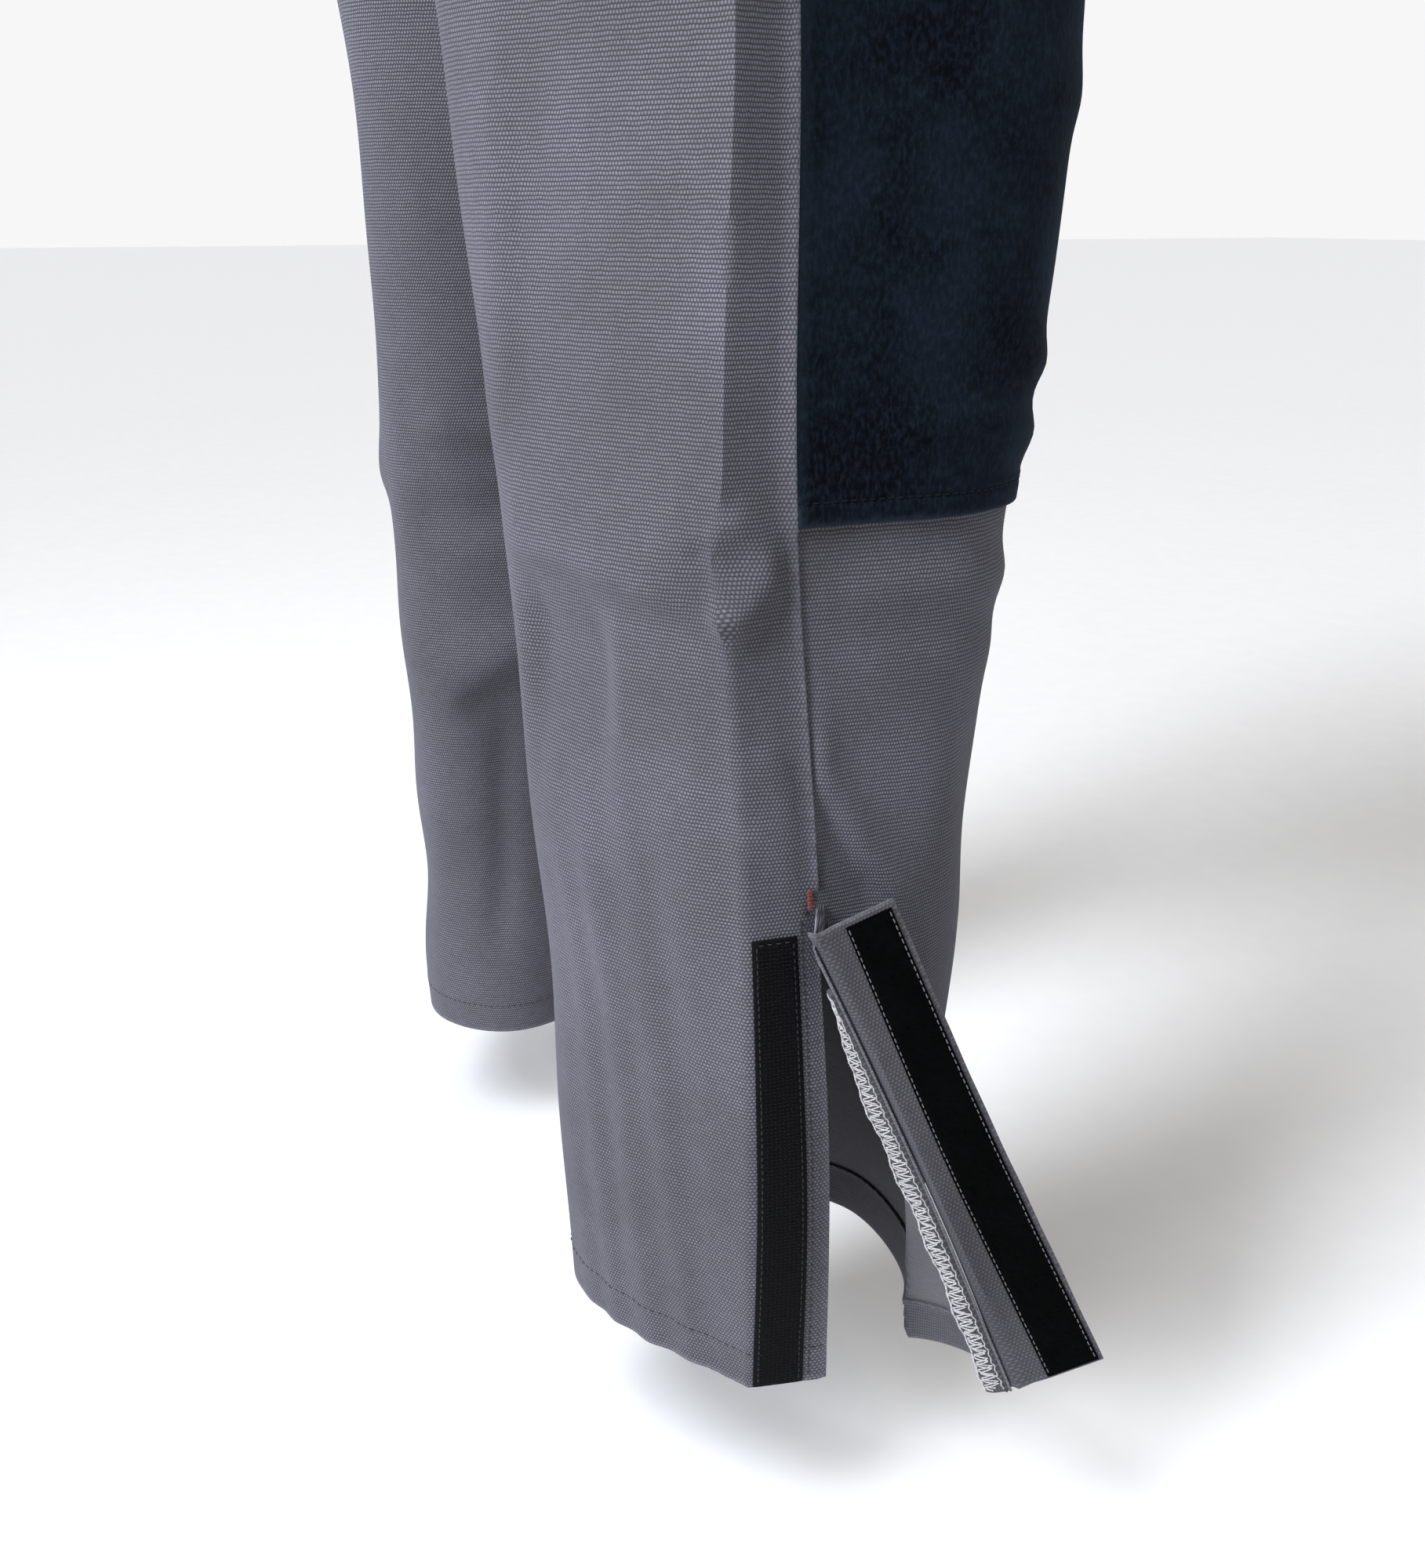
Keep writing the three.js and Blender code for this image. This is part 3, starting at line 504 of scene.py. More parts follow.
def suede_material():
    n = Nodes("suede_split")
    uv = n.cloth()[0]
    place = n.place()
    brushed = n.noise(n.scaled(uv, (620, 260, 1)), 1, 4, 0.65)
    fine = n.noise(uv, 1500, 3, 0.7)
    cloud = n.noise(place, 22, 5, 0.62)
    tone = n.mix(n.range(cloud, 0.38, 0.62, 0, 1), rgb(2, 4, 8), rgb(17, 24, 34))
    tone = n.mix(n.range(brushed, 0.44, 0.70, 0, 0.5), tone, rgb(34, 44, 58))
    tone = n.mix(n.math("MULTIPLY", n.wear(), n.range(fine, 0.3, 0.7, 0.2, 0.7)), tone, rgb(52, 62, 74))
    lump = n.bump(n.noise(place, 140, 4, 0.6), 0.7 * MM, 0.55)
    nap = n.bump(n.math("ADD", brushed, n.math("MULTIPLY", fine, 0.6)), 0.35 * MM, 0.8, lump)
    return n.set(Base_Color=tone, Roughness=n.range(fine, 0.3, 0.7, 0.82, 1.0), Normal=nap, Sheen_Weight=0.10,
                 Sheen_Roughness=0.42, Sheen_Tint=(0.35, 0.5, 0.7, 1), Specular_IOR_Level=0.06)


def thread_material(name, light, dark, gloss=0.55, shine=0.4):
    n = Nodes(name)
    place = n.place()
    ply = n.noise(n.scaled(place, (1.0, 1.0, 0.6)), 2600, 2)
    tone = n.mix(n.range(ply, 0.35, 0.65, 0, 1), light, dark)
    rough = n.range(ply, 0.3, 0.7, gloss - 0.1, gloss + 0.15)
    return n.set(Base_Color=tone, Roughness=rough, Sheen_Weight=0.2 * shine, Specular_IOR_Level=shine,
                 Normal=n.bump(ply, 0.1 * MM, 0.7))


def tape_material(name, tone_a, tone_b, looped):
    n = Nodes(name)
    uv, _, v = n.cloth()
    grain = n.noise(uv, 1900 if looped else 900, 3, 0.75)
    rows = n.math("SINE", n.math("MULTIPLY", v, 2 * math.pi / (0.9 * MM)))
    ribs = n.range(rows, -1, 1, 0, 1)
    tone = n.mix(n.range(grain, 0.4, 0.72, 0, 1), tone_a, tone_b)
    tone = n.mix(n.range(n.noise(n.place(), 60, 3), 0.45, 0.75, 0, 0.5), tone, tone_b)
    height = grain if looped else n.math("ADD", n.math("MULTIPLY", ribs, 0.5), n.math("MULTIPLY", grain, 0.5))
    return n.set(Base_Color=tone, Roughness=0.95 if looped else 0.7, Specular_IOR_Level=0.04 if looped else 0.12,
                 Normal=n.bump(height, 0.45 * MM, 0.9))


def webbing_material():
    n = Nodes("belt_webbing")
    uv, u, v = n.cloth()
    lean = n.math("PINGPONG", n.math("MULTIPLY", v, 1 / (10 * MM)), 1.0)
    slant = n.math("ADD", u, n.math("MULTIPLY", lean, 3.2 * MM))
    chevron = n.math("SINE", n.math("MULTIPLY", slant, 2 * math.pi / (1.6 * MM)))
    picks = n.math("SINE", n.math("MULTIPLY", v, 2 * math.pi / (1.0 * MM)))
    height = n.math("ADD", n.range(chevron, -1, 1, 0, 0.7), n.range(picks, -1, 1, 0, 0.3))
    grain = n.noise(uv, 1800, 2)
    tone = n.mix(n.range(height, 0.1, 0.9, 0, 1), rgb(12, 13, 15), rgb(40, 42, 46))
    tone = n.mix(n.range(grain, 0.4, 0.7, 0, 0.5), tone, rgb(52, 54, 58))
    tone = n.mix(n.math("MULTIPLY", n.wear(), 0.5), tone, rgb(72, 74, 78))
    return n.set(Base_Color=tone, Roughness=0.72, Normal=n.bump(height, 0.35 * MM, 0.9), Sheen_Weight=0.15)


def quilt_material(name, light, dark, weave):
    n = Nodes(name)
    uv, u, v = n.cloth()
    fine = n.noise(uv, weave, 3, 0.7)
    cu = n.math("SINE", n.math("MULTIPLY", u, 2 * math.pi / (0.9 * MM)))
    cv = n.math("SINE", n.math("MULTIPLY", v, 2 * math.pi / (0.9 * MM)))
    knit = n.range(n.math("MULTIPLY", cu, cv), -1, 1, 0, 1)
    tone = n.mix(n.range(fine, 0.35, 0.7, 0, 1), light, dark)
    tone = n.mix(n.range(knit, 0, 0.5, 0.35, 0), tone, dark)
    height = n.math("ADD", n.math("MULTIPLY", knit, 0.6), n.math("MULTIPLY", fine, 0.4))
    return n.set(Base_Color=tone, Roughness=0.92, Normal=n.bump(height, 0.25 * MM, 0.7), Sheen_Weight=0.2)


def steel_material(name, scratch=(900, 60, 900)):
    n = Nodes(name)
    place = n.place()
    lines = n.noise(n.scaled(place, scratch), 1, 3, 0.7)
    smear = n.noise(place, 120, 4, 0.6)
    pits = n.noise(place, 900, 2)
    tone = n.mix(n.range(smear, 0.35, 0.7, 0, 1), rgb(176, 178, 180), rgb(132, 135, 138))
    tone = n.mix(n.range(pits, 0.62, 0.75, 0, 0.6), tone, rgb(92, 90, 86))
    return n.set(Base_Color=tone, Metallic=1.0, Roughness=n.range(lines, 0.3, 0.7, 0.26, 0.46),
                 Normal=n.bump(lines, 0.05 * MM, 0.5))


CANVAS_MAT = canvas_material("canvas_outside", rgb(128, 127, 139), rgb(108, 107, 115), rgb(42, 41, 45))
INSIDE_MAT = canvas_material("canvas_inside", rgb(104, 103, 107), rgb(92, 91, 95), rgb(66, 65, 68), 0.8)
TURNED_MAT = canvas_material("canvas_turned", rgb(94, 92, 98), rgb(82, 80, 86), rgb(40, 39, 43), 0.3)
SUEDE_MAT = suede_material()
DARK_THREAD = thread_material("thread_dark", rgb(38, 38, 43), rgb(20, 20, 24))
NAVY_THREAD = thread_material("thread_navy", rgb(16, 20, 28), rgb(7, 9, 13), 0.6, 0.15)
GREY_THREAD = thread_material("thread_grey", rgb(118, 116, 120), rgb(84, 83, 88))
PALE_THREAD = thread_material("thread_pale", rgb(205, 202, 203), rgb(150, 148, 152), 0.5)
COPPER_THREAD = thread_material("thread_tack", rgb(150, 72, 64), rgb(100, 50, 48), 0.5)
HOOK_BASE = tape_material("hook_tape_base", rgb(3, 3, 4), rgb(10, 10, 13), False)
HOOK_MAT = thread_material("hook_nylon", rgb(12, 12, 15), rgb(4, 4, 6), 0.5, 0.15)
LOOP_MAT = tape_material("loop_tape_pile", rgb(1, 1, 1), rgb(8, 9, 10), True)
WEB_MAT = webbing_material()
PAD_MAT = quilt_material("saw_pad_fibre", rgb(208, 202, 176), rgb(172, 164, 136), 1100)
LINING_MAT = quilt_material("lining_mesh", rgb(62, 65, 72), rgb(36, 38, 43), 1500)
STEEL_MAT = steel_material("brushed_steel")
STEEL_PIN = steel_material("turned_steel", (900, 900, 60))


# ---- meshes --------------------------------------------------------------------------------------

def mesh_piece(name, points, faces, materials, indices=None, uv=None, wear=None, angle=50):
    mesh = bpy.data.meshes.new(name)
    faces = faces if isinstance(faces, list) else faces.tolist()
    mesh.from_pydata(np.asarray(points, float).reshape(-1, 3).tolist(), [], faces)
    for material in materials:
        mesh.materials.append(material)
    if indices is not None:
        mesh.polygons.foreach_set("material_index", np.asarray(indices, np.int32))
    if uv is not None:
        layer = mesh.uv_layers.new(name="cloth")
        corners = np.zeros(len(mesh.loops), np.int32)
        mesh.loops.foreach_get("vertex_index", corners)
        layer.data.foreach_set("uv", np.asarray(uv, np.float32)[corners].ravel())
    if wear is not None:
        attribute = mesh.attributes.new("wear", "FLOAT", "POINT")
        attribute.data.foreach_set("value", np.asarray(wear, np.float32).ravel())
    mesh.polygons.foreach_set("use_smooth", np.ones(len(mesh.polygons), bool))
    mesh.set_sharp_from_angle(angle=math.radians(angle))
    mesh.update()
    piece = bpy.data.objects.new(name, mesh)
    bpy.context.scene.collection.objects.link(piece)
    return piece


def sheet_piece(name, outer, inner, uv, materials, wear=None):
    """A closed piece of cloth from two grids of points; its materials are outside, inside and edge."""
    rows, columns = outer.shape[:2]
    count = rows * columns
    ids = np.arange(count).reshape(rows, columns)
    a, b, c, d = ids[:-1, :-1], ids[:-1, 1:], ids[1:, 1:], ids[1:, :-1]
    front = np.stack([a, b, c, d], -1).reshape(-1, 4)
    back = np.stack([a, d, c, b], -1).reshape(-1, 4) + count
    ring = np.concatenate([ids[0, :], ids[1:, -1], ids[-1, -2::-1], ids[-2:0:-1, 0]])
    after = np.roll(ring, -1)
    rim = np.stack([after, ring, ring + count, after + count], -1)
    faces = np.concatenate([front, back, rim])
    points = np.concatenate([outer.reshape(-1, 3), inner.reshape(-1, 3)])
    if inside_out(points, faces):
        faces = faces[:, ::-1]
    kinds = np.repeat([0, 1, 2], [len(front), len(back), len(rim)])
    kinds = np.minimum(kinds, len(materials) - 1)
    uv2 = np.concatenate([uv.reshape(-1, 2)] * 2)
    w = None if wear is None else np.concatenate([wear.ravel()] * 2)
    return mesh_piece(name, points, faces, materials, kinds, uv2, w)


def steps(low, high, pitch, edge=1.2 * MM):
    """Evenly pitched positions with a few close ones at each end, for a rounded edge."""
    near = np.array([0, 0.12, 0.35, 0.7, 1.2]) * edge
    middle = np.linspace(low + near[-1], high - near[-1], max(2, int(round((high - low) / pitch))))
    return np.concatenate([low + near[:-1], middle, high - near[:-1][::-1]])


def rounded(distance, half):
    """How much of its half thickness the cloth keeps near its edge."""
    d = np.clip(distance / half, 0, 1)
    return np.maximum(0.22, np.sqrt(1 - (1 - d) ** 2))


def tubes(points, up, radius, sides=6):
    """Closed tubes: points (tubes, rings, 3), up directions alike, radius by ring."""
    count, rings = points.shape[:2]
    tangent = unit(np.gradient(points, axis=1))
    across = unit(np.cross(tangent, up))
    lift = np.cross(across, tangent)
    a = np.arange(sides) * 2 * math.pi / sides
    r = np.broadcast_to(radius, (count, rings))[..., None, None]
    c, s = np.cos(a)[None, None, :, None], np.sin(a)[None, None, :, None]
    ring = c * across[:, :, None] + s * lift[:, :, None]
    verts = (points[:, :, None] + r * ring).reshape(-1, 3)
    ids = np.arange(count * rings * sides).reshape(count, rings, sides)
    n = np.roll(ids, -1, 2)
    quads = np.stack([ids[:, :-1], n[:, :-1], n[:, 1:], ids[:, 1:]], -1).reshape(-1, 4)
    caps = np.concatenate([ids[:, 0, ::-1].reshape(-1, sides), ids[:, -1].reshape(-1, sides)])
    return verts, quads.tolist() + caps.tolist()


def joined(parts):
    verts, faces, base = [], [], 0
    for v, f in parts:
        verts.append(v)
        faces += [[i + base for i in face] for face in f]
        base += len(v)
    return np.concatenate(verts), faces


def spaced(line, normal, step):
    """A polyline and its normals again, with points about step apart."""
    along = lengths_along(line)
    at = np.linspace(0, along[-1], max(2, int(round(along[-1] / step)) + 1))
    return looked_up(at, along, line), unit(looked_up(at, along, normal)), at


def stitch_row(line, normal, length=3.0 * MM, gap=0.9 * MM, radius=0.33 * MM, lift=0.16 * MM):
    """Lock stitches along a line: each one bows up from its two holes."""
    rings = 6
    fine, up, at = spaced(line, normal, 0.4 * MM)
    count = max(1, int((at[-1] - gap) / (length + gap)))
    starts = gap + np.arange(count) * (at[-1] - gap) / count
    t = np.linspace(0, 1, rings)
    where = starts[:, None] + t * length
    p, n = looked_up(where, at, fine), unit(looked_up(where, at, up))
    wobble = 0.06 * MM * random.standard_normal((count, 1, 1)) * unit(np.cross(np.gradient(p, axis=1), n))
    bow = (np.sin(math.pi * t) ** 0.6 - 0.75) * 0.5 * MM + lift + 0.1 * MM
    p = p + n * bow[None, :, None] + wobble
    return tubes(p, n, radius * np.array([0.45, 0.9, 1, 1, 0.9, 0.45]), 6)


def threads(name, parts, material, carry=None):
    verts, faces = joined(parts)
    piece = mesh_piece(name, carry(verts) if carry else verts, faces, [material])
    return piece


def leg_row(side, places, heights, out=0.0, **options):
    line, normal = leg(side, places, heights, out)
    return stitch_row(line, normal, **options)


# ---- cloth on a leg ------------------------------------------------------------------------------

closings = {side: Closing(side) for side in SIDES}


def leg_cloth(name, side, runs, heights, out, thickness, materials, carry=None, origin=0.0, edges=(1, 1, 1, 1)):
    """Cloth on a leg between two distances round it.

    out gives its inner face, and edges says which of its four ends are rounded."""
    run, h = np.meshgrid(runs, heights)
    place = place_of(run)
    low = out(run, h) if callable(out) else np.full(run.shape, out)
    thick = thickness(run, h) if callable(thickness) else np.full(run.shape, thickness)
    ends = (run - runs[0], runs[-1] - run, h - heights[0], heights[-1] - h)
    edge = np.min([d if used else d + 9 for d, used in zip(ends, edges)], axis=0)
    keep = rounded(edge, thick / 2)
    middle = low + thick / 2
    outer = leg(side, place, h, middle + keep * thick / 2)[0]
    inner = leg(side, place, h, middle - keep * thick / 2)[0]
    girth = 0.92 + 0.25 * smooth(h, 0.0, 0.75)
    uv = np.stack([(run - origin) * girth, h], -1)
    wear = bell(edge, 1.6 * MM) * np.where(edge < 1, 1, 0)
    if carry:
        outer, inner = carry(outer), carry(inner)
    piece = sheet_piece(name, outer, inner, uv, materials, wear)
    piece["flat"] = [float(runs[-1] - runs[0]), float(heights[-1] - heights[0])]
    return piece, grid_area(outer)


def declare(piece):
    del piece["flat"]


FINE = 3.2 * MM  # the pitch of a cloth's grid
QUILT, QUILT_LEAN = 0.06, 0.6
OVERLOCK_FROM = 1.3 * MM
canvas_set = [CANVAS_MAT, INSIDE_MAT, CANVAS_MAT]
SEAM_LAP = 0.9 * MM
INSEAM_LAP = 9 * MM


def build_leg(side):
    closing = closings[side]
    carry = closing.corner
    r8, r4 = float(run_of(CREASE)), float(run_of(INSEAM))
    heights = np.concatenate([steps(0, 0.05, 2.5 * MM)[:-4], np.arange(0.052, SLIT - 0.01, FINE),
                              steps(SLIT - 0.008, CROTCH, FINE)])
    heights = np.unique(np.round(heights, 6))

    def groove(d):
        return -0.28 * MM * bell(d, 0.9 * MM)

    def back_out(run, h):
        lap = smooth(run, GIRTH - 5 * MM, GIRTH - 0.5 * MM)
        high = np.where(h > SUEDE_EDGE - 2 * MM, 2.5 * MM, 1.5 * MM)
        high = -1.4 * MM + (high + 1.4 * MM) * smooth(h, FLAP_TOP + 0.5 * MM, FLAP_TOP + 7 * MM)
        pucker = 0.16 * MM * np.sin(run * 2 * math.pi / (7 * MM)) * bell(h - HEM, 5 * MM)
        beside = bell(run - (GIRTH - 12 * MM), 4 * MM)
        side_pucker = 0.12 * MM * np.sin(h * 2 * math.pi / (6.5 * MM)) * beside * (h < SLIT)
        return -CANVAS + lap * high + groove(h - HEM) + pucker + side_pucker

    back, back_area = leg_cloth(f"{side}_back_cloth", side, steps(r4, GIRTH + SEAM_LAP, FINE), heights, back_out,
                                CANVAS, canvas_set, origin=r8, edges=(0, 1, 1, 1))
    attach(back, "chaps")
    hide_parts(f"{side}_back_panel")

    def front_out(run, h):
        lap = smooth(run, r4 - 3 * MM, r4 + 0.5 * MM)
        pucker = 0.16 * MM * np.sin(run * 2 * math.pi / (7 * MM)) * bell(h - HEM, 5 * MM)
        under = -0.8 * MM * bell(run, 3.4 * MM) * (h > SLIT)
        return -CANVAS + lap * 1.5 * MM + groove(h - HEM) + pucker + under

    front, front_area = leg_cloth(f"{side}_front_cloth", side, steps(0.4 * MM, r4 + INSEAM_LAP, 3 * MM), heights,
                                  front_out, CANVAS, canvas_set, carry, origin=0.0)
    closing.blend_corner(front)
    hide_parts(f"{side}_front_panel", f"{side}_ankle_corner")

    # Turned hems inside the cloth, with an overcast raw edge.
    hem_heights = steps(0.4 * MM, HEM + 3 * MM, 2.5 * MM)

    def frayed(run, h):
        wave = 0.25 * MM * np.sin(run * 2 * math.pi / (5 * MM))
        return -CANVAS - 0.2 * MM - 1.4 * MM + wave * smooth(h, HEM - 4 * MM, HEM + 3 * MM)

    hem_back, _ = leg_cloth(f"{side}_hem_back_cloth", side, steps(r4 + INSEAM_LAP, GIRTH - 0.5 * MM, FINE), hem_heights,
                            frayed, 1.3 * MM, [TURNED_MAT], origin=r8)
    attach(hem_back, "chaps")
    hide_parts(f"{side}_hem_back")
    hem_front, _ = leg_cloth(f"{side}_hem_front_cloth", side, steps(1.5 * MM, r4 - 1 * MM, 3 * MM), hem_heights,
                             frayed, 1.3 * MM, [TURNED_MAT], carry)
    closing.blend_corner(hem_front)
    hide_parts(f"{side}_hem_front", f"{side}_corner_hem")

    # Suede over the thigh and knee, turned under and stitched at its lower edge.
    reach = float(run_of(SUEDE_REACH))

    def suede_thick(run, h):
        double = smooth(SUEDE_EDGE + 13 * MM - h, 0, 3 * MM)
        stitched = bell(h - SUEDE_EDGE - 9 * MM, 1.1 * MM)
        return SUEDE + 0.9 * MM * double - 0.8 * MM * stitched

    def suede_out(run, h):
        loose = 0.5 * MM * (1 + np.sin(run * 2 * math.pi / 0.047)) * bell(h - SUEDE_EDGE, 20 * MM)
        return 0.2 * MM + loose * smooth(run, 0, 10 * MM) * smooth(reach - run, 0, 10 * MM)

    fine = steps(SUEDE_EDGE, SUEDE_EDGE + 0.02, 1.2 * MM)
    coarse = np.arange(SUEDE_EDGE + 0.022, CROTCH - 3 * MM, 3.5 * MM)
    suede_heights = np.unique(np.round(np.concatenate([fine, coarse, [CROTCH]]), 6))
    suede, suede_area = leg_cloth(f"{side}_suede_cloth", side, steps(0.7 * MM, reach, 3.5 * MM), suede_heights,
                                  suede_out, suede_thick, [SUEDE_MAT], edges=(1, 1, 1, 0))
    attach(suede, "chaps")
    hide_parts(f"{side}_suede_panel")

    # Padding and lining, quilted together in long diamonds.
    pad_low, pad_high = SLIT + 50 * MM, CROTCH - 5 * MM

    def quilt(run, h):
        one, other = run + h * QUILT_LEAN, run - h * QUILT_LEAN
        return np.sqrt(np.abs(np.sin(math.pi * one / QUILT)) * np.abs(np.sin(math.pi * other / QUILT)))

    pad_from, pad_to = float(run_of(1 / 3)), float(run_of(10 / 3))
    pad, _ = leg_cloth(f"{side}_pad_layers", side, steps(pad_from, pad_to, 6 * MM, 4 * MM),
                       steps(pad_low, pad_high, 6 * MM, 4 * MM),
                       lambda run, h: -5.7 * MM + (1 - quilt(run, h)) * 1.6 * MM,
                       lambda run, h: 4.0 * MM - (1 - quilt(run, h)) * 1.6 * MM, [PAD_MAT])
    del pad["flat"]
    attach(pad, "chaps")
    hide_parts(f"{side}_saw_pad")
    lining, lining_area = leg_cloth(f"{side}_lining_cloth", side,
                                    steps(pad_from - 2 * MM, float(run_of(3.6)), 5 * MM),
                                    steps(pad_low, pad_high + 2 * MM, 5 * MM),
                                    lambda run, h: -7.0 * MM + (1 - quilt(run, h)) * 1.4 * MM,
                                    0.8 * MM, [LINING_MAT])
    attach(lining, "chaps")
    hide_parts(f"{side}_lining")

    # Stitching that stays on the leg.
    rows = []
    ring = np.linspace(r4 + INSEAM_LAP, GIRTH - 1 * MM, 260)
    level = HEM + 0 * ring
    rows.append(leg_row(side, place_of(ring), level, back_out(ring, level) + CANVAS, length=2.9 * MM))
    up = np.linspace(3 * MM, SLIT - 1 * MM, 200)
    placket = float(run_of(HOOK_TO)) + 2.0 * MM
    on_placket = back_out(placket + 0 * up, up) + CANVAS
    rows.append(leg_row(side, place_of(placket + 0 * up), up, on_placket, length=3.0 * MM))
    cross = np.linspace(placket, GIRTH - 1 * MM, 20)
    rows.append(leg_row(side, place_of(cross), SLIT + 1 * MM + 0 * cross, back_out(cross, SLIT + 0 * cross) + CANVAS))
    tall = np.linspace(3 * MM, CROTCH - 14 * MM, 600)
    for away in (2.2 * MM, 8 * MM):
        rows.append(leg_row(side, place_of(r4 + away + 0 * tall), tall, 1.5 * MM))
    threads(f"{side}_leg_stitches", rows, DARK_THREAD)
    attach(bpy.data.objects[f"{side}_leg_stitches"], "chaps")

    rows = []
    ring = np.linspace(2 * MM, r4 + 6 * MM, 420)
    level = HEM + 0 * ring
    face = front_out(ring, level)
    rows.append(leg_row(side, place_of(ring), level, face + CANVAS, length=2.9 * MM))
    rows.append(leg_row(side, place_of(ring), level, face, length=2.9 * MM, lift=-0.36 * MM))
    inner_rows = np.linspace(3 * MM, SLIT - 52 * MM, 160)
    for away in (13.6 * MM, 15.2 * MM):
        line, normal = leg(side, place_of(away + 0.5 * MM * np.sin(inner_rows * 60)), inner_rows, -CANVAS)
        rows.append(stitch_row(line, -normal, length=2.6 * MM, radius=0.26 * MM))
    stitches = threads(f"{side}_front_hem_stitches", rows, DARK_THREAD, carry=carry)
    closing.blend_corner(stitches)

    rows = []
    ring = np.linspace(2 * MM, reach - 2 * MM, 420)
    level = SUEDE_EDGE + 9 * MM + 0 * ring
    edge_out = suede_out(ring, level) + SUEDE + 0.1 * MM
    rows.append(leg_row(side, place_of(ring), level, edge_out, length=2.8 * MM, gap=1.1 * MM))
    tall = np.linspace(SUEDE_EDGE + 3 * MM, CROTCH - 3 * MM, 500)
    rows.append(leg_row(side, place_of(reach - 3 * MM + 0 * tall), tall, 1.9 * MM))
    suede_rows = threads(f"{side}_suede_stitches", rows, NAVY_THREAD)
    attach(suede_rows, "chaps")

    build_closure(side, closing, r8)
    declare(back)
    declare(front)
    declare(suede)
    declare(lining)


def build_closure(side, closing, r8):
    """The hook tape, tack, overlocked allowance, flap and loop tape at one ankle."""
    left, right = float(run_of(HOOK_FROM)), float(run_of(HOOK_TO))
    heights = steps(1 * MM, SLIT - 8 * MM, 2.5 * MM, 0.8 * MM)

    def hook_thick(run, h):
        woven = smooth(run, left, left + 2 * MM) * smooth(right - run, 0, 2 * MM)
        return 0.8 * MM + 0.35 * MM * woven

    tape, _ = leg_cloth(f"{side}_hook_strip", side, steps(left, right, 1.6 * MM, 0.8 * MM), heights,
                        0.15 * MM, hook_thick, [HOOK_BASE], origin=r8)
    del tape["flat"]
    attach(tape, "chaps")
    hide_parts(f"{side}_hook_tape")

    # Little bent hooks in rows, every second row turned the other way.
    grid_u, grid_h = np.meshgrid(np.arange(left + 2.6 * MM, right - 2.4 * MM, 1.55 * MM),
                                 np.arange(3 * MM, SLIT - 10 * MM, 1.75 * MM))
    odd = (np.arange(grid_u.shape[0]) % 2)[:, None]
    grid_u = grid_u + 0.7 * MM * odd + 0.12 * MM * random.standard_normal(grid_u.shape)
    grid_h = grid_h + 0.15 * MM * random.standard_normal(grid_h.shape)
    base, normal = leg(side, place_of(grid_u.ravel()), grid_h.ravel(), 1.2 * MM)
    ahead = unit(leg(side, place_of(grid_u.ravel() + MM), grid_h.ravel(), 1.2 * MM)[0] - base)
    way = np.where(np.broadcast_to(odd, grid_u.shape).ravel() > 0, 1.0, -1.0)[:, None]
    t = np.linspace(0, 1, 6)
    arc_x = 0.45 * MM * (1 - np.cos(math.pi * t)) * 1.1
    arc_y = 0.85 * MM * np.sin(math.pi * np.minimum(t * 1.15, 0.97) * 0.86) - 0.1 * MM
    points = base[:, None] + (ahead * way)[:, None] * arc_x[None, :, None]
    points = points + normal[:, None] * arc_y[None, :, None]
    sideways = np.cross(ahead, normal)
    taper = 0.15 * MM * np.array([1, 1, 1, 1, 0.9, 0.6])
    verts, faces = tubes(points, np.repeat(sideways[:, None], 6, 1), taper, 4)
    hooks = mesh_piece(f"{side}_hook_pile", verts, faces, [HOOK_MAT])
    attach(hooks, "chaps")

    rows = []
    up = np.linspace(3 * MM, SLIT - 10 * MM, 200)
    for run in (left + 1.7 * MM, right - 1.7 * MM):
        rows.append(leg_row(side, place_of(run + 0 * up), up, 1.05 * MM, length=2.4 * MM, radius=0.28 * MM))
    across = np.linspace(left + 1.7 * MM, right - 1.7 * MM, 20)
    rows.append(leg_row(side, place_of(across), SLIT - 10 * MM + 0 * across, 1.2 * MM,
                        length=2.4 * MM, radius=0.28 * MM))
    sewn = threads(f"{side}_tape_stitches", rows, DARK_THREAD)
    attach(sewn, "chaps")

    # Bar tack: satin stitches side by side across the seam, above the slit.
    lines = []
    for i in range(13):
        run = np.linspace(float(run_of(TACK_FROM)), float(run_of(TACK_TO)), 6)
        h = SLIT + 3 * MM + i * 0.62 * MM + 0.2 * MM * np.sin(i * 2.3) + 0.25 * MM * np.array([0, 1, 0, 1, 0, 1])
        p, n = leg(side, place_of(run), h, 0.55 * MM)
        lines.append((p + n * (0.25 * MM * np.sin(np.linspace(0.2, math.pi - 0.2, 6)))[:, None], n))
    taper = 0.33 * MM * np.array([0.5, 1, 1, 1, 1, 0.5])
    verts, faces = tubes(np.array([p for p, _ in lines]), np.array([n for _, n in lines]), taper)
    tack = mesh_piece(f"{side}_tack_bar", verts, faces, [COPPER_THREAD])
    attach(tack, "chaps")
    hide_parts(f"{side}_bar_tack")

    # The overlocked seam allowance inside the corner: a folded strip and its three threads.
    top = SLIT - 22 * MM

    def wide(h):
        return (8.0 + 5.0 * smooth(top - h, 0, 0.09)) * MM

    def stand(s, h):
        return 5.5 * MM * s * smooth(top - h, -0.004, 0.05) * (1 + 0.12 * np.sin(h * 2 * math.pi / 0.037))

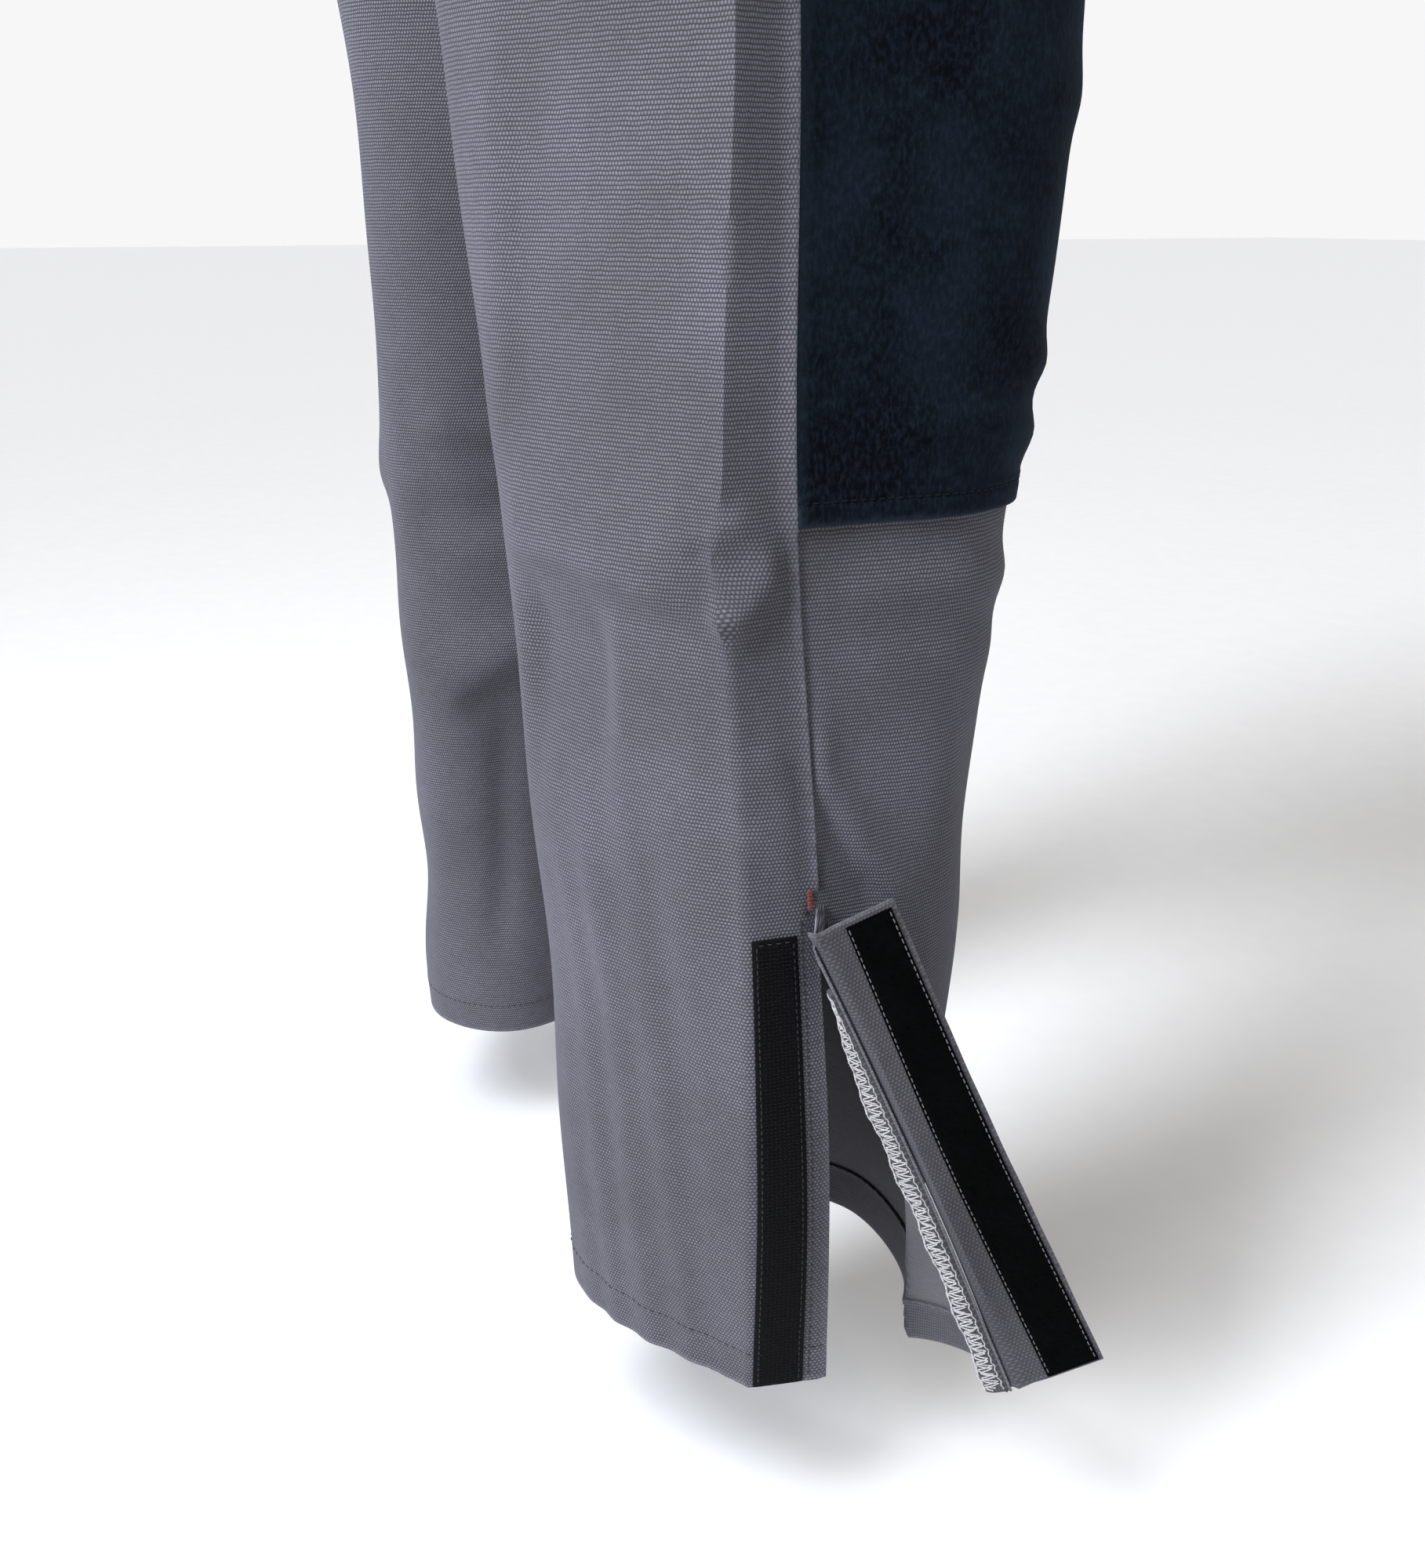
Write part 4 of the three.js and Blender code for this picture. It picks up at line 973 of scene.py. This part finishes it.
    strip_h = steps(1.5 * MM, top, 3 * MM, 0.8 * MM)
    share = steps(0, 1, 0.16, 0.08)
    s, h = np.meshgrid(share, strip_h)
    run = OVERLOCK_FROM + s * wide(h)
    puff = 0.55 * MM * np.sin(math.pi * s) + 0.2 * MM * np.sin(h * 2 * math.pi / (9 * MM))
    outer = leg(side, place_of(run), h, -CANVAS - 0.15 * MM - stand(s, h))[0]
    inner = leg(side, place_of(run), h, -CANVAS - 1.35 * MM - puff - stand(s, h))[0]
    uv = np.stack([run, h], -1)
    strip = sheet_piece(f"{side}_overlock_strip", closing.corner(outer), closing.corner(inner), uv, [TURNED_MAT])
    closing.blend_corner(strip)
    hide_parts(f"{side}_overlock_seam")

    def thread_line(s, h, radius, sides=6):
        on = np.clip(s, 0, 1)
        wave = 0.2 * MM * np.sin(h * 2 * math.pi / (9 * MM))
        depth = -CANVAS - 1.35 * MM - 0.55 * MM * np.sin(math.pi * on) - wave - 0.28 * MM - stand(on, h)
        p, n = leg(side, place_of(OVERLOCK_FROM + s * wide(h)), h, depth)
        return tubes(p[None], -n[None], radius, sides)

    fine_h = np.arange(3 * MM, top - 2 * MM, 0.5 * MM)
    pitch = 4.4 * MM
    saw = np.abs(((fine_h / pitch) % 1) * 2 - 1)
    jitter = 0.05 * np.sin(fine_h * 900) + 0.05 * np.sin(fine_h * 377)
    lines = [thread_line(0.10 + 0.78 * saw + jitter, fine_h, 0.30 * MM),
             thread_line(0.10 + 0.78 * saw - jitter, fine_h + 1.3 * MM, 0.28 * MM),
             thread_line(0.93 + 0.02 * np.sin(fine_h * 2 * math.pi / pitch), fine_h, 0.33 * MM),
             thread_line(0.98 + 0.03 * np.cos(fine_h * 2 * math.pi / pitch), fine_h, 0.26 * MM),
             thread_line(0.06 + 0.03 * np.sin(fine_h * 2 * math.pi / pitch), fine_h, 0.30 * MM)]
    for start in np.arange(4 * MM, top - 6 * MM, 2.2 * MM):
        h = np.linspace(start, start + 1.4 * MM, 7)
        t = np.linspace(0, 1, 7)
        lines.append(thread_line(0.92 + 0.14 * np.sin(math.pi * t), h, 0.26 * MM, 5))
    overlock = threads(f"{side}_overlock_thread", lines, PALE_THREAD, carry=closing.corner)
    closing.blend_corner(overlock)

    # The flap: folded canvas with a raised stitched rim, sewn into the side seam.
    far = float(run_of(FLAP_FAR))
    flap_heights = steps(1 * MM, FLAP_TOP, 2.5 * MM)
    runs = steps(far, GIRTH + 5 * MM, 2.0 * MM)

    def rim(run, h):
        edge = np.minimum(np.minimum(run - far, h - 1 * MM), FLAP_TOP - h)
        return bell(edge - 1.4 * MM, 1.3 * MM), bell(edge - 3.4 * MM, 0.7 * MM)

    def flap_out(run, h):
        ridge, sewn = rim(run, h)
        ripple = 0.35 * MM * np.sin(h * 2 * math.pi / 0.043) * smooth(GIRTH - run, 0, 20 * MM)
        rise = 0.15 * MM + 3.15 * MM * smooth(GIRTH + 4.5 * MM - run, 0, 8 * MM)
        return rise - 0.35 * MM * ridge + 0.2 * MM * sewn + ripple

    def flap_thick(run, h):
        ridge, sewn = rim(run, h)
        return CANVAS + 0.8 * MM * ridge - 0.3 * MM * sewn

    flap, flap_area = leg_cloth(f"{side}_flap_cloth", side, runs, flap_heights, flap_out, flap_thick,
                                [CANVAS_MAT, TURNED_MAT, CANVAS_MAT], closing.flap, origin=r8)
    closing.blend_flap(flap)
    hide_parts(f"{side}_flap")

    # Loop tape with a ragged pile on the flap's inner face.
    near = far + 1.0 * MM
    tape_runs = steps(near, right, 1.1 * MM, 0.7 * MM)
    tape_heights = steps(3 * MM, FLAP_TOP - 3 * MM, 1.6 * MM, 0.7 * MM)
    run, h = np.meshgrid(tape_runs, tape_heights)
    edge = np.minimum(np.minimum(run - near, right - run), np.minimum(h - tape_heights[0], tape_heights[-1] - h))
    pile = smooth(edge, 1.2 * MM, 2.2 * MM)
    ragged = 0.22 * MM * random.standard_normal(run.shape) * pile
    upper = leg(side, place_of(run), h, flap_out(run, h) - 0.05 * MM)[0]
    lower = leg(side, place_of(run), h, flap_out(run, h) - 0.75 * MM - 0.75 * MM * pile + ragged)[0]
    loop = sheet_piece(f"{side}_loop_pile", closing.flap(upper), closing.flap(lower),
                       np.stack([run, h], -1), [LOOP_MAT])
    closing.blend_flap(loop)
    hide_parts(f"{side}_loop_tape")

    rows = []
    long = np.linspace(4 * MM, FLAP_TOP - 3.4 * MM, 200)
    for run in (near + 0.9 * MM, right - 0.9 * MM):
        p, n = leg(side, place_of(run + 0 * long), long, flap_out(run + 0 * long, long) - 0.95 * MM + 0.2 * MM)
        rows.append(stitch_row(p, -n, length=2.4 * MM, radius=0.26 * MM))
    edge_run = far + 3.4 * MM + 0 * long
    p, n = leg(side, place_of(edge_run), long, flap_out(edge_run, long) + CANVAS)
    rows.append(stitch_row(p, n, length=2.4 * MM, radius=0.3 * MM))
    colour = GREY_THREAD if side == "right" else DARK_THREAD
    sewn = threads(f"{side}_flap_stitches", rows, colour, carry=closing.flap)
    closing.blend_flap(sewn)
    declare(flap)


for side in SIDES:
    build_leg(side)


# ---- the yoke ------------------------------------------------------------------------------------

HALF_WIDTH, HALF_DEPTH, FLAT_BACK = 0.165, 0.125, 0.078
YOKE_TOP = BELT + 0.037
YOKE_FOOT = CROTCH + 0.3 * MM
BACK_Y = HALF_DEPTH * math.sqrt(1 - (FLAT_BACK / HALF_WIDTH) ** 2)
YOKE_TURN = 118.0
YOKE_REAR, YOKE_FRONT = -2.0, 3.2  # places at the crotch's height
PATCH_SIDE, PATCH_LOW, PATCH_HIGH = 2.66, 0.6, 0.74
BAND_LOW = 0.74


def waist(turn, out=0.0):
    """A point on the waist line, at degrees from the middle of the front, and its outward direction."""
    a = np.radians(turn)
    p = np.stack([HALF_WIDTH * np.sin(a), HALF_DEPTH * np.cos(a)], -1)
    n = unit(np.stack([np.sin(a) / HALF_WIDTH, np.cos(a) / HALF_DEPTH], -1))
    p = p + n * np.asarray(out)[..., None]
    flat = -BACK_Y - out
    soft = 2 * MM
    p[..., 1] = flat + soft * np.logaddexp(0, (p[..., 1] - flat) / soft)
    return p, n


_yoke_places = np.linspace(YOKE_REAR, YOKE_FRONT, 261)
_a, _b = outline(_yoke_places, CROTCH)
_yoke_run = np.concatenate([[0], np.cumsum(np.hypot(np.diff(_a), np.diff(_b)))])


def yoke_bare(side, place, share):
    across, ahead = outline(place, CROTCH)
    run = np.interp(place, _yoke_places, _yoke_run) / _yoke_run[-1]
    top = waist(YOKE_TURN + (0.6 - YOKE_TURN) * run)[0]
    closing = smooth(share, 0, 0.6)
    x = across + (top[..., 0] - across) * closing
    y = ahead + (top[..., 1] - ahead) * closing
    z = YOKE_FOOT + (YOKE_TOP - YOKE_FOOT) * share - BELT
    return np.stack([SIDES[side] * x, -y, z], -1)


def yoke(side, place, share, out=0.0):
    place, share, out = np.broadcast_arrays(*(np.asarray(a, float) for a in (place, share, out)))
    e, g = 0.03, 0.01
    across = yoke_bare(side, place + e, share) - yoke_bare(side, place - e, share)
    up = yoke_bare(side, place, np.minimum(share + g, 1)) - yoke_bare(side, place, np.maximum(share - g, 0))
    normal = unit(np.cross(across, up)) * (1.0 if side == "right" else -1.0)
    sag = waves(place * 0.09, share * 0.28, 11 if side == "right" else 12, 0.12, 0.8 * MM)
    sag = sag * smooth(share, 0, 0.12) * smooth(0.62 - share, 0, 0.12)
    return yoke_bare(side, place, share) + normal * (out + sag)[..., None], normal


def binding(name, line, outward, normal, deep, thick):
    """A tape folded over a raw edge: line runs along the edge, outward points away from the cloth."""
    count = 14
    a = np.linspace(-math.pi / 2, math.pi / 2, count - 4)
    shape = [(-deep, -thick / 2 * 0.8), (-deep * 0.5, -thick / 2)]
    shape += [(0.4 * thick * math.cos(t), thick / 2 * math.sin(t)) for t in a]
    shape += [(-deep * 0.5, thick / 2), (-deep, thick / 2 * 0.8)]
    shape = np.array(shape)
    puck = 1 + 0.03 * np.sin(np.arange(len(line)) * 1.3)[:, None]
    points = line[:, None] + outward[:, None] * shape[None, :, :1]
    points = points + normal[:, None] * (shape[None, :, 1:] * puck[:, :, None])
    cols = points.shape[1]
    along = lengths_along(line)
    around = np.cumsum(np.full(cols, 2 * MM))
    uv = np.stack(np.broadcast_arrays(along[:, None], around[None]), -1).reshape(-1, 2)
    piece = mesh_piece(name, points, lofted(points), [WEB_MAT], uv=uv, angle=60)
    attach(piece, "chaps")
    return piece


def build_yoke(side):
    ends = [-1.995, -1.985, 3.185, 3.195]
    places = np.unique(np.round(np.concatenate([np.linspace(YOKE_REAR, YOKE_FRONT, 100), ends]), 5))
    shares = np.unique(np.round(np.concatenate([np.linspace(0, 1, 72), [0.002, 0.005, 0.995, 0.998]]), 5))
    place, share = np.meshgrid(places, shares)
    run = np.interp(place, _yoke_places, _yoke_run)
    uv = np.stack([run, share * (YOKE_TOP - YOKE_FOOT)], -1)
    height = YOKE_TOP - YOKE_FOOT
    edge = np.min([run, _yoke_run[-1] - run, share * height, (1 - share) * height], axis=0)

    def layer(name, low, thick, materials, replaced, slot_name):
        keep = rounded(edge, thick / 2)
        outer = yoke(side, place, share, low + thick / 2 * (1 + keep))[0]
        inner = yoke(side, place, share, low + thick / 2 * (1 - keep))[0]
        piece = sheet_piece(name, outer, inner, uv, materials, bell(edge, 2 * MM))
        piece["flat"] = [float(_yoke_run[-1]), float(height * 1.02)]
        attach(piece, "chaps")
        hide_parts(replaced)
        return piece, grid_area(outer)

    cloth, cloth_area = layer(f"{side}_yoke_cloth", -CANVAS, CANVAS, canvas_set, f"{side}_yoke_canvas", "canvas")
    hide, hide_area = layer(f"{side}_yoke_hide", 0.25 * MM, SUEDE, [SUEDE_MAT], f"{side}_yoke_suede", "suede")
    declare(cloth)
    declare(hide)

    shares_band = np.unique(np.round(np.concatenate([np.linspace(BAND_LOW, 1, 16), [0.743, 0.997]]), 5))
    p, s = np.meshgrid(np.linspace(-1.66, 3.1, 80), shares_band)
    r = np.interp(p, _yoke_places, _yoke_run)
    edge_band = np.minimum((s - BAND_LOW) * height, (1 - s) * height)
    keep = rounded(edge_band, 0.7 * MM)
    outer = yoke(side, p, s, -CANVAS - 0.9 * MM + 0.7 * MM * keep)[0]
    inner = yoke(side, p, s, -CANVAS - 0.9 * MM - 0.7 * MM * keep)[0]
    band = sheet_piece(f"{side}_waist_lining", outer, inner, np.stack([r, s * height], -1), [INSIDE_MAT])
    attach(band, "chaps")
    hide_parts(f"{side}_waistband")

    # Bound edges: the top of the leg's back, then the yoke's two free sides.
    ring = np.linspace(float(run_of(3.25)), float(run_of(6.98)), 110)
    line, normal = leg(side, place_of(ring), CROTCH - 1 * MM, -0.5 * MM)
    up = np.tile([0, 0, 1.0], (len(line), 1))
    binding(f"{side}_leg_top_binding", line, up, normal, 9 * MM, 3.4 * MM)
    s = np.linspace(0, 0.999, 90)
    for label, place, way in (("rear", YOKE_REAR, -1.0), ("front", YOKE_FRONT, 1.0)):
        line, normal = yoke(side, np.full(90, place), s, 0.3 * MM)
        inward = unit(yoke(side, np.full(90, place - way * 0.05), s, 0.3 * MM)[0] - line)
        outward = -unit(inward - (inward * normal).sum(-1, keepdims=True) * normal)
        upto = int(len(line) * (0.62 if label == "front" else 1.0))
        binding(f"{side}_yoke_{label}_binding", line[:upto], outward[:upto], normal[:upto], 9 * MM, 4.2 * MM)

    rows = []
    top = np.linspace(-1.95, 3.15, 300)
    for level, out in ((0.985, 1.9 * MM), (0.742, 1.9 * MM), (0.02, 1.9 * MM), (0.045, 1.9 * MM)):
        line, normal = yoke(side, top, np.full(300, level), out)
        rows.append(stitch_row(line, normal))
    for label, place in (("rear", -1.93), ("front", 3.13)):
        line, normal = yoke(side, np.full(120, place), np.linspace(0.02, 0.97, 120), 2.4 * MM)
        rows.append(stitch_row(line, normal))
    sewn = threads(f"{side}_yoke_stitches", rows, DARK_THREAD)
    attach(sewn, "chaps")


for side in SIDES:
    build_yoke(side)


# ---- belt, keepers, patch and buckle -------------------------------------------------------------

BELT_LAYER = 2.2 * MM
WEBBING = 2.4 * MM
BELT_WIDTH = 40 * MM
KEEPER_HALF, KEEPER_REACH = 6.5 * MM, 34 * MM


def strap(name, line, out_way, width, thick, replaced, body):
    """Woven strap, its width upright: line runs along its middle, out_way points away from the waist."""
    half, r = width / 2, thick / 2
    t = np.linspace(-1, 1, 21)
    ribs = 0.10 * MM * np.abs(np.cos(t * math.pi * 4))
    face = [(half * v * (1 - r / half), r + b) for v, b in zip(t, ribs)]
    turns = np.linspace(math.pi / 2, -math.pi / 2, 7)[1:-1]
    cap = [(half - r + r * math.cos(a), r * math.sin(a)) for a in turns]
    shape = face + cap + [(x, -y) for x, y in face[::-1]] + [(-x, -y) for x, y in cap]
    shape = np.array(shape)
    up = np.array([0, 0, 1.0])
    points = line[:, None] + up * shape[None, :, :1] + out_way[:, None] * shape[None, :, 1:]
    rows, cols = points.shape[:2]
    along = lengths_along(line)
    uv = np.stack(np.broadcast_arrays(along[:, None], shape[None, :, 0] + half), -1).reshape(-1, 2)
    wear = np.broadcast_to(bell(half - np.abs(shape[:, 0]), 2 * MM), (rows, cols))
    piece = mesh_piece(name, points, lofted(points), [WEB_MAT], uv=uv, wear=wear, angle=60)
    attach(piece, body)
    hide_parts(replaced)
    return piece


def belt_line(sign, end_x):
    turns = np.linspace(0.8, 151.5, 150)
    p, n = waist(turns, BELT_LAYER + WEBBING / 2)
    rear = turns > 90
    on_flat = p[:, 1] < -BACK_Y - BELT_LAYER - WEBBING / 2 + 0.05 * MM
    keep = ~((p[:, 0] < end_x) & rear) & ~(rear & on_flat & (p[:, 0] < FLAT_BACK * 0.8))
    p, n = p[keep], n[keep]
    xs = np.linspace(p[-1, 0], end_x, 30)[1:]
    flat = np.stack([xs, np.full(len(xs), p[-1, 1])], -1)
    line = np.concatenate([p, flat])
    tangent = unit(np.gradient(line, axis=0))
    normal = np.stack([-tangent[:, 1], tangent[:, 0]], -1)
    normal = normal * np.sign((normal * line).sum(-1, keepdims=True))
    return [np.stack([sign * v[:, 0], -v[:, 1], np.zeros(len(v))], -1) for v in (line, normal)]


for label, sign, end_x in (("right", -1.0, 22 * MM), ("left", 1.0, 32 * MM)):
    strap(f"belt_web_{label}", *belt_line(sign, end_x), BELT_WIDTH, WEBBING, f"belt_{label}", "chaps")

tail_low, tail_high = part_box("belt_tail")
tail_y = (tail_low[1] + tail_high[1]) / 2
tail_x = np.linspace(tail_low[0], tail_high[0], 60)
tail_line = np.stack([tail_x, np.full(60, tail_y), np.zeros(60)], -1)
strap("belt_web_tail", tail_line, np.tile([0, 1.0, 0], (60, 1)), BELT_WIDTH, WEBBING, "belt_tail",
      "belt_tail_body")


def box_stitches(centre, across, up, out, width, height):
    """A square of stitches with a cross in it."""
    c, a, u = (np.asarray(v, float) for v in (centre, across, up))
    signs = ((-1, -1), (1, -1), (1, 1), (-1, 1))
    corner = [c + a * sx * width / 2 + u * sy * height / 2 for sx, sy in signs]
    ends = list(zip(corner, corner[1:] + corner[:1]))
    ends += [(corner[0], corner[2]), (corner[1], corner[3])]
    rows = []
    for p, q in ends:
        line = np.linspace(p, q, 12)
        rows.append(stitch_row(line, np.tile(out, (12, 1)), length=2.4 * MM, gap=0.7 * MM,
                               radius=0.3 * MM))
    return rows


belt_rows = []
for sign in (-1.0, 1.0):
    centre = (sign * 46 * MM, BACK_Y + BELT_LAYER + WEBBING + 0.1 * MM, 0)
    belt_rows += box_stitches(centre, (1, 0, 0), (0, 0, 1), (0, 1, 0), 22 * MM, 30 * MM)
sewn = threads("belt_stitches", belt_rows, GREY_THREAD)
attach(sewn, "chaps")


def keeper(side, name, turn):
    """A suede loop over the belt, sewn down above and below it."""
    sign = SIDES[side]
    spot, ahead = waist(np.array([turn]))
    spot, ahead = spot[0], ahead[0]
    spot = np.array([sign * spot[0], -spot[1], 0.0])
    out = unit(np.array([sign * ahead[0], -ahead[1], 0.0]))
    along = np.cross([0, 0, 1.0], out)
    foot, bridge = 2.3 * MM, 5.0 * MM
    path = [(-34, foot), (-27, foot), (-24, foot + 0.4 * MM), (-22.2, bridge - 0.6 * MM), (-20, bridge),
            (-10, bridge + 0.25 * MM)]
    path = [(y * MM, x) for y, x in path]
    path = np.array(path + [(-y, x) for y, x in path[::-1]])
    smooth_at = np.linspace(0, len(path) - 1, 60)
    path = np.stack([np.interp(smooth_at, np.arange(len(path)), path[:, k]) for k in (0, 1)], -1)
    for _ in range(2):
        path[1:-1] = (path[:-2] + 2 * path[1:-1] + path[2:]) / 4
    across = steps(-KEEPER_HALF, KEEPER_HALF, 1.2 * MM)
    tangent = unit(np.gradient(path, axis=0))
    normal = np.stack([-tangent[:, 1], tangent[:, 0]], -1)
    normal = normal * np.sign(normal[:, 1:] + 1e-9)
    ends = np.minimum(path[:, :1] + KEEPER_REACH, KEEPER_REACH - path[:, :1])
    edge = np.minimum(KEEPER_HALF - np.abs(across)[None], ends)
    keep = rounded(edge, SUEDE / 2) * SUEDE / 2

    def layer(way):
        v = path[:, None] + normal[:, None] * (SUEDE / 2 + way * keep)[..., None]
        level = spot + along * across[None, :, None]
        return level + np.array([0, 0, 1.0]) * v[..., :1] + out * v[..., 1:]

    run = np.broadcast_to(lengths_along(path)[:, None], edge.shape)
    uv = np.stack([np.broadcast_to(across[None], edge.shape), run], -1)
    wear = bell(edge, 1.2 * MM)
    piece = sheet_piece(f"{side}_{name}_keeper_loop", layer(1.0), layer(-1.0), uv, [SUEDE_MAT], wear)
    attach(piece, "chaps")
    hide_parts(f"{side}_{name}_keeper")
    rows = []
    for sy in (-1, 1):
        centre = spot + out * (foot + SUEDE) + np.array([0, 0, sy * 29.5 * MM])
        rows += box_stitches(centre, along, (0, 0, 1), out, 9.5 * MM, 6 * MM)
    return rows


keeper_rows = []
for side in SIDES:
    for name, turn in (("front", 22), ("side", 62), ("rear", 104)):
        keeper_rows += keeper(side, name, turn)
sewn = threads("keeper_stitches", keeper_rows, GREY_THREAD)
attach(sewn, "chaps")


def front_patch():
    """The suede patch that joins the two halves of the yoke at the front."""
    half = np.linspace(0, 1, 22)
    across = YOKE_FRONT - PATCH_SIDE
    columns = [("right", PATCH_SIDE + across * t) for t in half]
    columns += [("left", YOKE_FRONT - across * t) for t in half]
    ends = [0.6015, 0.604, 0.736, 0.7385]
    shares = np.unique(np.round(np.concatenate([np.linspace(PATCH_LOW, PATCH_HIGH, 16), ends]), 5))
    low, high, uv, position = [], [], [], []
    for side, place in columns:
        p, n = yoke(side, np.full(len(shares), place), shares)
        position.append((p, n))
    total = len(columns)
    width = np.linalg.norm(position[0][0][0] - position[-1][0][0])
    for i, (p, n) in enumerate(position):
        x = abs(i / (total - 1) - 0.5) * 2
        level = np.minimum(shares - PATCH_LOW, PATCH_HIGH - shares) * (YOKE_TOP - YOKE_FOOT)
        edge = np.minimum((1 - x) * width / 2, level)
        keep = rounded(edge, SUEDE / 2) * SUEDE / 2
        middle = (2.5 * MM + SUEDE / 2)
        high.append(p + n * (middle + keep)[:, None])
        low.append(p + n * (middle - keep)[:, None])
        uv.append(np.stack([np.full(len(shares), (i / total) * width), shares * 0.28], -1))
    high, low, uv = (np.stack(grid, 1) for grid in (high, low, uv))
    piece = sheet_piece("front_patch_hide", high, low, uv, [SUEDE_MAT])
    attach(piece, "chaps")
    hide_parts("front_patch")
    rows = []
    for level in (0.612, 0.728):
        line = np.array([yoke(side, place, level, 2.5 * MM + SUEDE)[0] for side, place in columns])
        normal = np.array([yoke(side, place, level)[1] for side, place in columns])
        rows.append(stitch_row(line[1:-1], normal[1:-1]))
    sewn = threads("front_patch_stitches", rows, GREY_THREAD)
    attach(sewn, "chaps")


front_patch()


def eased(node, name, material, width, body="chaps"):
    """A metal CAD node again with its edges eased by a fine bevel."""
    source = nodes[node]
    piece = bpy.data.objects.new(name, source.data.copy())
    bpy.context.scene.collection.objects.link(piece)
    piece.data.materials.clear()
    piece.data.materials.append(material)
    weld = piece.modifiers.new("weld", "WELD")
    weld.merge_threshold = 0.02 * MM
    flat = piece.modifiers.new("flat", "DECIMATE")
    flat.decimate_type = "DISSOLVE"
    flat.angle_limit = math.radians(1)
    bevel = piece.modifiers.new("bevel", "BEVEL")
    bevel.width, bevel.segments = width, 3
    bevel.limit_method, bevel.angle_limit = "ANGLE", math.radians(38)
    bevel.use_clamp_overlap = True
    graph = bpy.context.evaluated_depsgraph_get()
    done = bpy.data.meshes.new_from_object(piece.evaluated_get(graph))
    piece.modifiers.clear()
    piece.data = done
    done.name = name
    done.polygons.foreach_set("use_smooth", np.ones(len(done.polygons), bool))
    done.set_sharp_from_angle(angle=math.radians(30))
    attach(piece, body)
    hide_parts(node)
    return piece


eased("buckle_body", "buckle_frame", STEEL_MAT, 0.7 * MM)
eased("cam_lever", "buckle_lever", STEEL_MAT, 0.6 * MM, "cam_lever_body")
eased("buckle_pin", "buckle_axle", STEEL_PIN, 0.4 * MM)
for side in SIDES:
    for level in ("lower", "upper"):
        eased(f"{side}_{level}_rivet", f"{side}_{level}_rivet_head", STEEL_PIN, 0.5 * MM)


# ---- stage ---------------------------------------------------------------------------------------

def stage():
    n = Nodes("studio_floor")
    grain = n.noise(n.place(), 40, 4)
    tone = n.mix(n.range(grain, 0.3, 0.7, 0, 1), (0.93, 0.93, 0.935, 1), (0.95, 0.95, 0.95, 1))
    material = n.set(Base_Color=tone, Roughness=0.9, Specular_IOR_Level=0.1)
    size, z = 30.0, -BELT - 0.08
    corners = [(-size, -size, z), (size, -size, z), (size, size, z), (-size, size, z)]
    floor = mesh_piece("floor", corners, [[0, 1, 2, 3]], [material])

    world = bpy.data.worlds.new("studio")
    bpy.context.scene.world = world
    world.use_nodes = True
    background = world.node_tree.nodes["Background"]
    background.inputs["Color"].default_value = (1.0, 1.0, 1.0, 1)
    path = world.node_tree.nodes.new("ShaderNodeLightPath")
    seen = world.node_tree.nodes.new("ShaderNodeMapRange")
    seen.inputs[3].default_value, seen.inputs[4].default_value = 0.10, 0.93
    world.node_tree.links.new(path.outputs["Is Camera Ray"], seen.inputs[0])
    world.node_tree.links.new(seen.outputs[0], background.inputs["Strength"])

    def soft(name, towards, power, colour, spread=None, at=None):
        light = bpy.data.lights.new(name, "AREA" if at else "SUN")
        light.energy, light.color = power, colour
        if at:
            light.shape, light.size = "SQUARE", 0.7
        else:
            light.angle = math.radians(spread)
        lamp = bpy.data.objects.new(name, light)
        lamp.rotation_euler = Vector(towards).to_track_quat("-Z", "Y").to_euler()
        lamp.location = at or (0, 0, 0)
        lamp.visible_camera = False
        bpy.context.scene.collection.objects.link(lamp)

    soft("key", (0.18, -0.84, -0.52), 2.9, (0.92, 0.95, 1.0), spread=24)
    soft("window", (0.05, -0.76, -0.85), 21.0, (0.90, 0.94, 1.0), at=(-0.25, 0.85, 0.55))
    soft("top", (0.10, 0.15, -1.0), 1.2, (1.0, 0.965, 0.93), spread=60)


stage()

camera_data = bpy.data.cameras.new("camera")
camera_data.lens, camera_data.sensor_width, camera_data.sensor_fit = 32.4, 36.0, "AUTO"
camera = bpy.data.objects.new("camera", camera_data)
bpy.context.scene.collection.objects.link(camera)
camera.location = (-0.69756, 0.24631, -0.480)
camera.rotation_euler = Vector((0.84702, -0.37712, -0.37461)).to_track_quat("-Z", "Y").to_euler()
bpy.context.scene.camera = camera
bpy.context.scene.view_settings.view_transform = "Standard"
